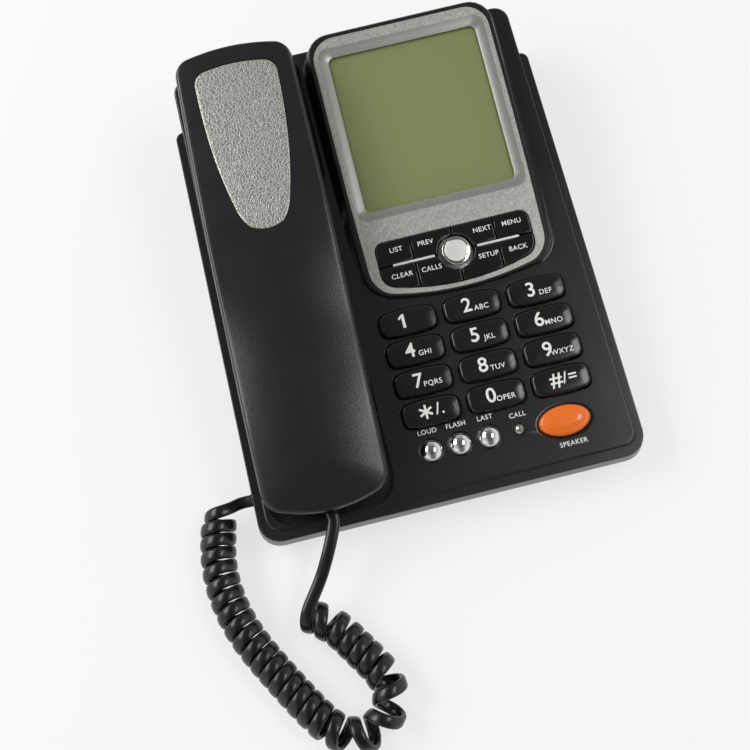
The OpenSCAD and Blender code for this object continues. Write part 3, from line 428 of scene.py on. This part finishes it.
def silver_paint():
    """Silver metallic lacquer on ABS: grey with fine flakes that sparkle one by one."""
    material, tree, shader, place = finish("silver_lacquer", "#aaaaa6", 0.42, 0.35)
    # Real flakes are under 0.1 mm; they are drawn at 0.65 mm, so that they show
    flakes = add(tree, "ShaderNodeTexVoronoi", {"Vector": place, "Scale": per(0.65)})
    mix = add(tree, "ShaderNodeMix", {"Factor": flakes.outputs["Color"], "A": linear("#94948f"),
                                      "B": linear("#c2c2bd")}, data_type="RGBA")
    tree.links.new(mix.outputs[2], shader.inputs["Base Color"])
    bump = add(tree, "ShaderNodeBump", {"Height": flakes.outputs["Distance"], "Strength": 0.25,
                                        "Distance": 0.05 * MM})
    tree.links.new(bump.outputs["Normal"], shader.inputs["Normal"])
    return material


def smooth_silver():
    """The same lacquer sprayed onto a polished slope: an even grey that takes its side's light."""
    material, tree, shader, place = finish("smooth_silver_lacquer", "#a3a39d", 0.34, 0.6)
    varied(tree, shader, place, size_mm=14, low=0.31, high=0.37)
    return material


def metallised_cap():
    """Vacuum-metallised plastic cap: bright silver under a soft haze."""
    material, tree, shader, place = finish("vacuum_metallised_cap", "#e8e8e2", 0.34, 0.4)
    grain(tree, shader, place, size_mm=0.5, depth_mm=0.03, strength=0.2)
    varied(tree, shader, place, size_mm=4, low=0.28, high=0.4)
    return material


def crinkled_silver():
    """Silver lacquer over a wrinkled base coat, with painted highlight and shade on its relief."""
    material, tree, shader, place = finish("crinkled_silver_lacquer", "#b0afa9", 0.34, 0.55)
    warp = add(tree, "ShaderNodeTexNoise", {"Vector": place, "Scale": per(1.6), "Detail": 2})
    shift = add(tree, "ShaderNodeVectorMath", {0: warp.outputs["Color"], "Scale": 1.6 * MM},
                operation="SCALE")
    moved = add(tree, "ShaderNodeVectorMath", {0: place, 1: shift.outputs[0]}, operation="ADD")
    worms = add(tree, "ShaderNodeTexVoronoi", {"Vector": moved.outputs[0], "Scale": per(1.3)},
                feature="DISTANCE_TO_EDGE")
    crest_height_and_shade = add(tree, "ShaderNodeMapRange", {"Value": worms.outputs["Distance"], "From Max": 0.18})
    # Painted highlight and shade: pale colour on the crests, grey in the hollows, following the
    # relief
    mix = add(tree, "ShaderNodeMix", {"Factor": crest_height_and_shade.outputs["Result"], "A": linear("#c4c3bc"),
                                      "B": linear("#989791")}, data_type="RGBA")
    tree.links.new(mix.outputs[2], shader.inputs["Base Color"])
    bump = add(tree, "ShaderNodeBump", {"Height": crest_height_and_shade.outputs["Result"], "Strength": 0.5,
                                        "Distance": 0.12 * MM}, invert=True)
    tree.links.new(bump.outputs["Normal"], shader.inputs["Normal"])
    return material


def chrome_plating():
    """Chromium over nickel: a clear mirror with the faintest waviness."""
    material, tree, shader, place = finish("chrome_plating", "#dcdcda", 0.06, 1.0)
    grain(tree, shader, place, size_mm=3, depth_mm=0.01, strength=0.05)
    return material


def orange_key():
    """Moulded orange polycarbonate: a saturated colour under a satin gloss."""
    material, tree, shader, place = finish("orange_polycarbonate", "#ec7222", 0.2, IOR=1.58)
    grain(tree, shader, place, size_mm=0.7, depth_mm=0.02, strength=0.1)
    varied(tree, shader, place, size_mm=6, low=0.17, high=0.23)
    return material


def clear_window():
    """Cast acrylic: almost invisible but for a thin gloss."""
    material, tree, shader, place = finish("clear_acrylic", "#20221c", 0.03, IOR=1.49, Alpha=0.06)
    varied(tree, shader, place, size_mm=30, low=0.02, high=0.05)
    return material


def screen_green():
    """Liquid-crystal cell at rest: flat olive, faintly clouded by the reflector behind it."""
    material, tree, shader, place = finish("liquid_crystal_olive", "#8b925d", 0.6)
    cloud = add(tree, "ShaderNodeTexNoise", {"Vector": place, "Scale": per(40), "Detail": 2})
    mix = add(tree, "ShaderNodeMix", {"Factor": cloud.outputs["Fac"], "A": linear("#878e5a"),
                                      "B": linear("#8f9661")}, data_type="RGBA")
    tree.links.new(mix.outputs[2], shader.inputs["Base Color"])
    return material


def clear_lens():
    """Clear polycarbonate over a bright reflector: facets that flash pale or dark by their side."""
    material, tree, shader, place = finish("clear_polycarbonate_on_reflector", "#a9a9a4", 0.06, 0.8)
    grain(tree, shader, place, size_mm=1.2, depth_mm=0.01, strength=0.05)
    return material


def cord_vinyl():
    """Extruded vinyl: soft gloss black with a slight drawing grain."""
    material, tree, shader, place = finish("extruded_vinyl", "#101011", 0.27, IOR=1.5)
    grain(tree, shader, place, size_mm=0.8, depth_mm=0.02, strength=0.1)
    varied(tree, shader, place, size_mm=12, low=0.23, high=0.32)
    return material


def plain(name, code, roughness, metallic, size_mm):
    """Inner piece: its own colour with a light mottle."""
    material, tree, shader, place = finish(name, code, roughness, metallic)
    grain(tree, shader, place, size_mm, depth_mm=0.03, strength=0.2)
    varied(tree, shader, place, 10 * size_mm, low=max(0.05, roughness - 0.08),
           high=roughness + 0.08)
    return material


def printed_white():
    """Pad-printed ink: matt white, very slightly uneven."""
    material, tree, shader, place = finish("pad_printed_white", "#e6e6e2", 0.55)
    varied(tree, shader, place, size_mm=1.5, low=0.45, high=0.65)
    return material


LOOKS = {
    "case_black": satin_abs("satin_black_abs", "#1d1d1d", 0.25),
    "handset_black": satin_abs("fine_satin_black_abs", "#181918", 0.3, depth_mm=0.08),
    "key_black": polished_abs("lacquered_black_abs", "#161617", 0.18),
    "menu_gloss_black": polished_abs("polished_black_abs", "#131314", 0.12),
    "bezel_silver": silver_paint(),
    "frame_silver": smooth_silver(),
    "cap_silver": metallised_cap(),
    "plate_silver": crinkled_silver(),
    "chrome": chrome_plating(),
    "speaker_orange": orange_key(),
    "window_clear": clear_window(),
    "lcd_green": screen_green(),
    "lamp_clear": clear_lens(),
    "cord_black": cord_vinyl(),
    "board_green": plain("solder_mask_green", "#1f5a33", 0.4, 0, 1.5),
    "mat_rubber": plain("silicone_rubber", "#cfcdc4", 0.7, 0, 0.8),
    "foot_rubber": plain("nitrile_rubber", "#1b1b1b", 0.8, 0, 0.8),
    "steel": plain("zinc_plated_steel", "#b9bab8", 0.35, 1.0, 0.6),
    "inner_black": satin_abs("moulded_black_nylon", "#232325", 0.5),
    "speaker_grey": plain("painted_steel", "#3c3d40", 0.5, 0.4, 0.9),
    "cell_grey": plain("printed_cell_sleeve", "#707c88", 0.4, 0.2, 1.2),
    "print_white": printed_white(),
}
SLOT_OF = {part["node"]: part["material_slot"] for part in frame["record"]["subparts"]}
BODY_OF = {node: body for body, nodes in frame["record"]["behaviour"]["bodies"].items()
           for node in nodes}
for node, cad_object in frame["nodes"].items():
    cad_object.data.materials.clear()
    cad_object.data.materials.append(LOOKS[SLOT_OF[node]])


# Dressed copies of CAD nodes: welded, edges rounded, even shading
WELD = 0.002 * MM
FLAT_WITHIN = 0.4


def dressed(node, round_mm=0.0, steps=2, sharper_than=35, material=None, chosen=None):
    """Copy of a CAD node whose sharp edges, or the chosen ones among them, are rounded."""
    source = frame["nodes"][node].data
    mesh = bpy.data.meshes.new("welded")
    mesh.from_pydata([v.co for v in source.vertices], [],
                     [tuple(p.vertices) for p in source.polygons])
    bm = bmesh.new()
    bm.from_mesh(mesh)
    bpy.data.meshes.remove(mesh)
    bmesh.ops.remove_doubles(bm, verts=bm.verts, dist=WELD)
    bmesh.ops.dissolve_limit(bm, angle_limit=math.radians(FLAT_WITHIN), verts=bm.verts,
                             edges=bm.edges)
    if round_mm:
        hard = [e for e in bm.edges
                if e.is_manifold and e.calc_face_angle(0) > math.radians(sharper_than)
                and (chosen is None or all(chosen(v.co / MM) for v in e.verts))]
        bmesh.ops.bevel(bm, geom=hard, offset=round_mm * MM, offset_type="OFFSET", segments=steps,
                        profile=0.5, affect="EDGES", clamp_overlap=False)
    slot = SLOT_OF[node]
    return piece("dressed_" + node, bm, BODY_OF[node], material or LOOKS[slot], [node])


# Handset: outer shell with finer rings, the plate's recess cut into it
GRIP_W = 57
EAR_W = 54
MOUTH_W = 55
EAR_SAG = 4
MOUTH_SAG = 6.3
END_R = 6
SPINE = HANDSET_L / 2 - 24
EAR_CROWN = 16
MOUTH_CROWN = 11.5
GRIP_FROM = 30
GRIP_OVER = 60
MOUTH_DROOP = 0.4
DROOP_FROM = 45
DROOP_OVER = 62
EAR_ARCH = 0.8
GRIP_ARCH = 3.4
EDGE_T = 0.08
CROWN_T = 0.985
HOLLOW_T = 0.9
EDGE_FULLNESS = 3
HOLLOW_FULLNESS = 5
EDGE_RINGS = 12
CROWN_RINGS = 10
HOLLOW_RINGS = 8
SHELL = 2.2
PLATE_Y = (HANDSET_L / 2 - 86.2, HANDSET_L / 2 - 12.7)
PLATE_A = (10.1, 18.9)
PLATE_SAG = (4, 2.6)
PLATE_R = (6, 5)
PLATE_TAPER = 2.5
PLATE_SPINE = 20
PLATE_SUNK = 1.2
PLATE_GAP = 0.35
# The plate's rim: share of the way to its middle line, and height under the crown
PLATE_RIM = ((0, -PLATE_SUNK), (0, -0.5), (0.01, -0.28), (0.03, -0.16), (0.06, -0.1), (0.3, -0.04),
             (0.9, 0))


def handset_width(y):
    u = 2 * y / HANDSET_L
    return 1 + ((EAR_W - MOUTH_W) / 2 * u + ((EAR_W + MOUTH_W) / 2 - GRIP_W) * u * u) / GRIP_W


def handset_outline(inset):
    a = GRIP_W / 2 - inset
    ear = HANDSET_L / 2 - EAR_SAG - inset
    mouth = MOUTH_SAG + inset - HANDSET_L / 2
    half = []
    for x, y in half_rect(a, ear, mouth, END_R, END_R, across=12, corner=10, side=60):
        y += (1 - (x / a) ** 2) * (EAR_SAG * y / ear if y > 0 else -MOUTH_SAG * y / mouth)
        half.append((x * handset_width(y), y))
    return both_halves(half)


def gripped(y):
    return smooth((GRIP_FROM - y) / GRIP_OVER)


def swell(t, fullness):
    return (1 - (1 - t) ** fullness) ** (1 / fullness)


def back(y, t):
    """Height over the parting plane, from the crisp upper edge to the arched middle."""
    crown = EAR_CROWN + (MOUTH_CROWN - EAR_CROWN) * gripped(y)
    crown *= 1 - MOUTH_DROOP * smooth((-y - DROOP_FROM) / DROOP_OVER) ** 2
    arch = EAR_ARCH + (GRIP_ARCH - EAR_ARCH) * gripped(y)
    return swell(min(1, t / EDGE_T), EDGE_FULLNESS) * (crown - arch) + arch * t * (2 - t)


def outer_ring(inset, t):
    points = []
    for p in handset_outline(inset):
        x, y = drawn_in(p, SPINE, t)
        points.append((x, y, back(y, t) - inset * swell(t, HOLLOW_FULLNESS)))
    return points


def plate_outline(grow):
    low, high = PLATE_Y
    half = []
    for x, y in half_rect(PLATE_A[1] + grow, high + grow, low - grow, PLATE_R[1], PLATE_R[0],
                          across=10, corner=10, side=24):
        u = min(1, max(0, (y - low) / (high - low)))
        sag = PLATE_SAG[1] if u > 0.5 else -PLATE_SAG[0]
        half.append((x * (1 - (1 - PLATE_A[0] / PLATE_A[1]) * (1 - u) ** PLATE_TAPER),
                     y + sag * (1 - (x / PLATE_A[1]) ** 2)))
    return both_halves(half)


def cut(target, bm):
    """Cuts a closed mesh out of an object."""
    mesh = bpy.data.meshes.new("cutter")
    bm.to_mesh(mesh)
    bm.free()
    cutter = bpy.data.objects.new("cutter", mesh)
    scene.collection.objects.link(cutter)
    boolean = target.modifiers.new("cut", "BOOLEAN")
    boolean.object = cutter
    boolean.solver = "EXACT"
    graph = bpy.context.evaluated_depsgraph_get()
    whole = bpy.data.meshes.new_from_object(target.evaluated_get(graph))
    target.modifiers.remove(boolean)
    target.data = whole
    bpy.data.objects.remove(cutter)


def make_handset():
    edge = [EDGE_T * (1 - math.cos(math.radians(90 * i / EDGE_RINGS)) ** (2 / 3))
            for i in range(EDGE_RINGS + 1)]
    crown = [EDGE_T + (CROWN_T - EDGE_T) * (i / CROWN_RINGS) ** 1.3
             for i in range(1, CROWN_RINGS + 1)]
    hollow = [(i / HOLLOW_RINGS) ** 2 * HOLLOW_T for i in range(HOLLOW_RINGS + 1)]
    rings = [outer_ring(SHELL, t) for t in reversed(hollow)]
    rings += [outer_ring(0, t) for t in edge + crown]
    shell = piece("handset_top", loft(rings, HANDSET), "handset",
                  LOOKS["handset_black"], ["handset_outer_shell"], crease=40, even=False)
    recess = plate_outline(PLATE_GAP)
    depths = (EAR_CROWN - PLATE_SUNK, EAR_CROWN + 4)
    cut(shell, loft([at_height(recess, z) for z in depths], HANDSET))


def make_plate():
    middle = sum(PLATE_Y) / 2
    rings = []
    for t, z in PLATE_RIM:
        ring = []
        for x, y in plate_outline(0):
            q = drawn_in((x, y - middle), PLATE_SPINE, t)
            ring.append((q[0], q[1] + middle, EAR_CROWN + z))
        rings.append(ring)
    piece("handset_silver_plate", loft(rings, HANDSET), "handset",
          LOOKS["plate_silver"], ["handset_plate"], crease=40)


# Keypad keys: soft pillows with rounded rims
KEY_DX = 29.6
KEY_DY = 14.17
KEY_W = 25.8
KEY_L = 12.2
KEY_H = 3
KEY_SAG = 1.2
KEY_CORNER = 3
KEY_X = POD_X + 0.5 - KEY_DX
KEY_Y = FRONT_Y + 81.2
KEY_LOW = -3.5
KEY_NAMES = ["1", "2", "3", "4", "5", "6", "7", "8", "9", "star", "0", "hash"]
KEY_ROUND = 1.3
KEY_PILLOW = 0.45
RIM_RINGS = 8
TOP_RINGS = 7
TOP_T = 0.97
BUTTON_Y = FRONT_Y + 22
SPEAKER_AT = (POD_X + 26.9, FRONT_Y + 21)
SPEAKER_W = 23
SPEAKER_L = 13.5
SPEAKER_H = 3.6
SPEAKER_ROUND = 2.0
SPEAKER_PILLOW = 1.0
SPEAKER_SIDES = 72


def key_place(i):
    return FACE @ Matrix.Translation((KEY_X + KEY_DX * (i % 3), KEY_Y - KEY_DY * (i // 3), 0))


def pillow(edge, half, depth, top, rim, rise, low):
    """Rings of a key: straight sides, a rounded rim and a slightly risen top."""
    shoulder = top - rise - rim
    profile = [(0, low), (0, shoulder - 0.4)]
    for i in range(RIM_RINGS + 1):
        q = math.radians(90 * i / RIM_RINGS)
        profile.append((rim * (1 - math.cos(q)), shoulder + rim * math.sin(q)))
    inner = rim / depth
    for i in range(1, TOP_RINGS + 1):
        u = i / TOP_RINGS
        profile.append((depth * (inner + (TOP_T - inner) * u), top - rise * (1 - u) ** 2))
    return [[(*drawn_across(p, half, d / depth), z) for p in edge] for d, z in profile]


def make_keys():
    a, b = KEY_W / 2, KEY_L / 2
    edge = barrel(a, b - KEY_SAG, KEY_CORNER, KEY_SAG, across=10, corner=8, side=4)
    rings = pillow(edge, a - b, b, KEY_H, KEY_ROUND, KEY_PILLOW, KEY_LOW)
    made = []
    for i, name in enumerate(KEY_NAMES):
        node = "key_" + name
        made.append(piece("keypad_" + name, loft(rings, key_place(i)), node,
                          LOOKS["key_black"], [node], crease=60, even=False))
    return made


def make_speaker_key():
    a, b = SPEAKER_W / 2, SPEAKER_L / 2
    rings = pillow(oval(a, b, SPEAKER_SIDES), a - b, b, SPEAKER_H, SPEAKER_ROUND, SPEAKER_PILLOW,
                   KEY_LOW)
    place = FACE @ Matrix.Translation((*SPEAKER_AT, 0))
    piece("orange_speaker_key", loft(rings, place), "speaker_key",
          LOOKS["speaker_orange"], ["speaker_key"], crease=60, even=False)


# Small bright pieces
MENU_ROW = 16.5
MENU_TOP = 0.6
CENTRE_D = 13.6
CENTRE_RING_W = 1.9
LAMP_X = POD_X + 6.6
LAMP_FACETS = 8
LAMP_PROFILE = ((2.3, -6), (2.3, 0.8), (1.5, 1.7), (0.5, 2.1))
LCD_W = 70.5
LCD_L = 76.5
LCD_Y = 81.8
WINDOW_OVER = 0.6
WINDOW_TOP = -2.3
WINDOW_T = 1
WINDOW_GAP = 0.3
SLOPE_FROM = 10
SLOPE_TO = 35
OPENINGS_HALF_W = 48
OPENINGS_Y = (FRONT_Y + 12, KEY_Y + 9)
ON_FACE = 0.02


def make_lamp():
    rings = [at_height(oval(r, r, LAMP_FACETS), z) for r, z in LAMP_PROFILE]
    place = FACE @ Matrix.Translation((LAMP_X, BUTTON_Y, 0))
    piece("faceted_lamp_lens", loft(rings, place), "base", LOOKS["lamp_clear"],
          ["new_call_lamp"], crease=10, even=False)


def make_window():
    """Window pane that clears the screen below it by a thin gap."""
    a, b = LCD_W / 2 + WINDOW_OVER, LCD_L / 2 + WINDOW_OVER
    edge = [(-a, LCD_Y - b), (a, LCD_Y - b), (a, LCD_Y + b), (-a, LCD_Y + b)]
    faces = (WINDOW_TOP - WINDOW_T + WINDOW_GAP, WINDOW_TOP)
    piece("clear_window_pane", loft([at_height(edge, z) for z in faces], POD), "base",
          LOOKS["window_clear"], ["lcd_window"], even=False)


def make_bezel():
    """Bezel with the sloping frame of the screen in its smoother finish."""
    bezel = dressed("lcd_bezel", round_mm=0.25)
    bezel.data.materials.append(LOOKS["frame_silver"])
    up = POD.to_3x3() @ Vector((0, 0, 1))
    for face in bezel.data.polygons:
        slope = math.degrees(face.normal.angle(up))
        face.material_index = int(SLOPE_FROM < slope < SLOPE_TO)


def make_centre_button():
    """Chrome ring around a silver cap."""
    button = dressed("centre_button", round_mm=0.12, material=LOOKS["chrome"])
    button.data.materials.append(LOOKS["cap_silver"])
    for face in button.data.polygons:
        x, y, _ = POD.inverted() @ (face.center / MM)
        from_middle = math.hypot(x, y - MENU_ROW)
        face.material_index = int(from_middle < CENTRE_D / 2 - CENTRE_RING_W)


def at_openings(p):
    """Whether a point lies on the rim of an opening in the face."""
    x, y, z = FACE.inverted() @ p
    return (abs(z) < ON_FACE and abs(x - POD_X) < OPENINGS_HALF_W
            and OPENINGS_Y[0] < y < OPENINGS_Y[1])


def on_menu_top(p):
    return (POD.inverted() @ p).z > MENU_TOP


# Pad printing: plain numbers, the standard letter groups and plain function words
PRINT_LIFT = 0.04
PRINT_STEP = 0.8
FLAT_PRINT_STEP = 20
CAST_FROM = 0.05
LETTER_SPACING = 1.1
STAR_R = 3.2
STAR_STROKE = 1.0


def star():
    """Outline of a star of six bars."""
    outline = []
    half = STAR_STROKE / 2
    for k in range(6):
        q = math.radians(60 * k + 30)
        for ahead, side in ((STAR_R, -half), (STAR_R, half), (half * math.sqrt(3), half)):
            outline.append((ahead * math.cos(q) - side * math.sin(q),
                            ahead * math.sin(q) + side * math.cos(q)))
    return outline


# Outline of a one around its middle: a stem with its flag
ONE = [(-1.9, 1.5), (0.05, 3.2), (1.05, 3.2), (1.05, -3.2), (-0.25, -3.2), (-0.25, 1.65),
       (-1.4, 0.7)]
DRAWN = {"1": ONE, "*": star()}


def lettered(text, size, weight):
    """Flat mesh of a text in the plain typeface, or of a drawn sign."""
    if text in DRAWN:
        outline = DRAWN[text]
        flat = bpy.data.meshes.new("sign")
        flat.from_pydata(at_height(outline, 0), [], [range(len(outline))])
        return flat
    curve = bpy.data.curves.new("letters", "FONT")
    curve.body = text
    curve.size = size
    curve.offset = weight
    curve.space_character = LETTER_SPACING
    curve.align_x = "CENTER"
    curve.align_y = "CENTER"
    letters = bpy.data.objects.new("letters", curve)
    flat = bpy.data.meshes.new_from_object(letters)
    bpy.data.objects.remove(letters)
    bpy.data.curves.remove(curve)
    return flat


def words(name, prints, place, target, body, step=PRINT_STEP):
    """Printed marks laid onto a surface: text, middle, size and weight in the place's own frame."""
    graph = bpy.context.evaluated_depsgraph_get()
    surface = BVHTree.FromObject(target, graph)
    up = (place.to_3x3() @ Vector((0, 0, 1))).normalized()
    bm = bmesh.new()
    for text, middle, size, weight in prints:
        flat = lettered(text, size, weight)
        flat.transform(Matrix.Translation((*middle, 0)))
        bm.from_mesh(flat)
        bpy.data.meshes.remove(flat)
    for axis in (Vector((1, 0, 0)), Vector((0, 1, 0))):
        reach = [v.co.dot(axis) for v in bm.verts]
        for i in range(1, int((max(reach) - min(reach)) / step) + 1):
            bmesh.ops.bisect_plane(bm, geom=bm.verts[:] + bm.edges[:] + bm.faces[:], plane_no=axis,
                                   plane_co=axis * (min(reach) + i * step))
    for vert in bm.verts:
        flat_at = place @ vert.co * MM
        hit = surface.ray_cast(flat_at + up * CAST_FROM, -up)[0]
        vert.co = (hit or flat_at) + up * PRINT_LIFT * MM
    piece(name, bm, body, LOOKS["print_white"], even=False)


# Middle, size and weight of each kind of mark on a key, from the key's own middle
DIGITS = ["1", "2", "3", "4", "5", "6", "7", "8", "9", "*", "0", "#"]
DIGIT_MARK = ((-2.4, 0.2), 9.2, 0.12)
LETTERS = ["", "ABC", "DEF", "GHI", "JKL", "MNO", "PQRS", "TUV", "WXYZ", "", "OPER", ""]
LETTER_MARK = ((3.9, -1.8), 3.3, 0.03)
SECOND_SIGNS = [""] * 9 + ["/.", "", "/="]
SECOND_MARK = ((3.9, 0.2), 7.4, 0.08)


def print_keys(keys):
    kinds = ((DIGITS, DIGIT_MARK), (LETTERS, LETTER_MARK), (SECOND_SIGNS, SECOND_MARK))
    for i, key in enumerate(keys):
        prints = [(texts[i], *mark) for texts, mark in kinds if texts[i]]
        words("print_" + KEY_NAMES[i], prints, key_place(i), key, "key_" + KEY_NAMES[i])


MENU_WORDS = ["LIST", "PREV", "NEXT", "MENU", "CLEAR", "CALLS", "SETUP", "BACK"]
MENU_COL = 19.3
MENU_INNER_OUT = 3.6
MENU_OUTER_OUT = -2
MENU_WORDS_X = 0.5
MENU_WORDS_Y = (23.3, 11.1)
MENU_SIZE = 3.1
WORD_WEIGHT = 0.03


def print_menu(keys):
    for i, key in enumerate(keys):
        side = i % 4 - 1.5
        out = abs(side) * MENU_COL + (MENU_INNER_OUT if abs(side) < 1 else MENU_OUTER_OUT)
        middle = (math.copysign(out, side) + MENU_WORDS_X, MENU_WORDS_Y[i // 4])
        node = f"menu_key_{i + 1}"
        words("print_" + node, [(MENU_WORDS[i], middle, MENU_SIZE, WORD_WEIGHT)], POD, key, node)


DOME_WORDS_Y = BUTTON_Y + 8.6
FACE_WORDS = [("LOUD", (POD_X - 33.1, DOME_WORDS_Y)), ("FLASH", (POD_X - 20.1, DOME_WORDS_Y)),
              ("LAST", (POD_X - 6.9, DOME_WORDS_Y)), ("CALL", (POD_X + 7.4, BUTTON_Y + 6.4)),
              ("SPEAKER", (SPEAKER_AT[0] + 1.3, SPEAKER_AT[1] - 10.5))]
FACE_SIZE = 3


def print_face(case):
    prints = [(text, middle, FACE_SIZE, WORD_WEIGHT) for text, middle in FACE_WORDS]
    words("print_face", prints, FACE, case, "base", FLAT_PRINT_STEP)


# Floor and light, in metres
FLOOR_REACH = 3
GLOW_SHARE = 0.7
GLOW = 0.97
LIGHT_AIM = Vector((0, 0, 0.02))


def make_stage():
    """White paper that keeps the shadow and shows as white to the eye and in mirrors."""
    mesh = bpy.data.meshes.new("floor")
    r = FLOOR_REACH
    mesh.from_pydata([(-r, -r, 0), (r, -r, 0), (r, r, 0), (-r, r, 0)], [], [(0, 1, 2, 3)])
    floor = bpy.data.objects.new("floor", mesh)
    scene.collection.objects.link(floor)
    material = bpy.data.materials.new("white_paper")
    material.use_nodes = True
    tree = material.node_tree
    tree.nodes.remove(tree.nodes["Principled BSDF"])
    rays = add(tree, "ShaderNodeLightPath").outputs
    seen = rays["Is Camera Ray"]
    for kind in ("Is Glossy Ray", "Is Transmission Ray"):
        seen = add(tree, "ShaderNodeMath", {0: seen, 1: rays[kind]}, operation="MAXIMUM").outputs[0]
    share = add(tree, "ShaderNodeMath", {0: seen, 1: GLOW_SHARE}, operation="MULTIPLY")
    paper = add(tree, "ShaderNodeBsdfDiffuse", {"Color": linear("#f2f2f2")})
    glow = add(tree, "ShaderNodeEmission", {"Color": linear("#ffffff"), "Strength": GLOW})
    mix = add(tree, "ShaderNodeMixShader", {0: share.outputs[0], 1: paper.outputs[0],
                                            2: glow.outputs[0]})
    tree.links.new(mix.outputs[0], tree.nodes["Material Output"].inputs["Surface"])
    mesh.materials.append(material)


def softbox(name, at, width, height, watts):
    data = bpy.data.lights.new(name, "AREA")
    data.shape = "RECTANGLE"
    data.size = width
    data.size_y = height
    data.energy = watts
    lamp = bpy.data.objects.new(name, data)
    lamp.location = at
    lamp.rotation_euler = (LIGHT_AIM - Vector(at)).to_track_quat("-Z", "Y").to_euler()
    scene.collection.objects.link(lamp)


def make_light():
    """Two soft boxes in a studio that is brightest low at both sides, dim overhead and in front."""
    softbox("left_softbox", (-0.84, 0.36, 0.86), width=0.9, height=0.5, watts=9.0)
    softbox("right_softbox", (0.53, -0.16, 1.01), width=0.6, height=0.27, watts=3.3)
    world = bpy.data.worlds.new("studio")
    world.use_nodes = True
    tree = world.node_tree
    around = add(tree, "ShaderNodeTexCoord").outputs["Generated"]
    axes = add(tree, "ShaderNodeSeparateXYZ", {0: around}).outputs
    high = add(tree, "ShaderNodeMapRange", {"Value": axes["Z"], "From Min": 0.25, "From Max": 0.9,
                                            "To Min": 1.0, "To Max": 0.34})
    rear = add(tree, "ShaderNodeMapRange", {"Value": axes["Y"], "From Min": -1.0, "To Min": 0.2,
                                            "To Max": 0.6})
    across = add(tree, "ShaderNodeMath", {0: axes["X"]}, operation="ABSOLUTE")
    side = add(tree, "ShaderNodeMapRange", {"Value": across.outputs[0], "From Min": 0.2,
                                            "From Max": 0.6, "To Min": 0.2, "To Max": 1.0})
    wall = add(tree, "ShaderNodeMath", {0: rear.outputs[0], 1: side.outputs[0]},
               operation="MAXIMUM")
    level = add(tree, "ShaderNodeMath", {0: high.outputs[0], 1: wall.outputs[0]},
                operation="MULTIPLY")
    background = tree.nodes["Background"].inputs
    tree.links.new(level.outputs[0], background["Strength"])
    background["Color"].default_value = linear("#ffffff")
    scene.world = world


# The making: the cord first, then floor and light, the case, the handset, the keys and the prints
centres, rings = cord_rings()
cord = piece("coiled_handset_cord", loft(rings, TABLE), None, LOOKS["cord_black"],
             ["curly_cord"], even=False)
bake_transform(cord)
plugs = [dressed(node, round_mm=0.35) for node in ("handset_plug", "base_plug")]

make_stage()
make_light()
case = dressed("upper_case", round_mm=0.3, sharper_than=60, chosen=at_openings)
dressed("lower_case", round_mm=0.4)
make_bezel()
make_window()
dressed("lcd_panel")
make_centre_button()
make_lamp()
dressed("menu_trim_bars", round_mm=0.35, steps=3, material=LOOKS["cap_silver"])
for node in ("volume_button", "flash_button", "redial_button", "handset_inner_shell", "line_jack",
             "battery_door", "rubber_feet", "hook_plunger"):
    dressed(node)
make_handset()
make_plate()
keys = make_keys()
make_speaker_key()
menu = [dressed(f"menu_key_{i}", round_mm=0.6, steps=4, chosen=on_menu_top) for i in range(1, 9)]
print_keys(keys)
print_menu(menu)
print_face(case)
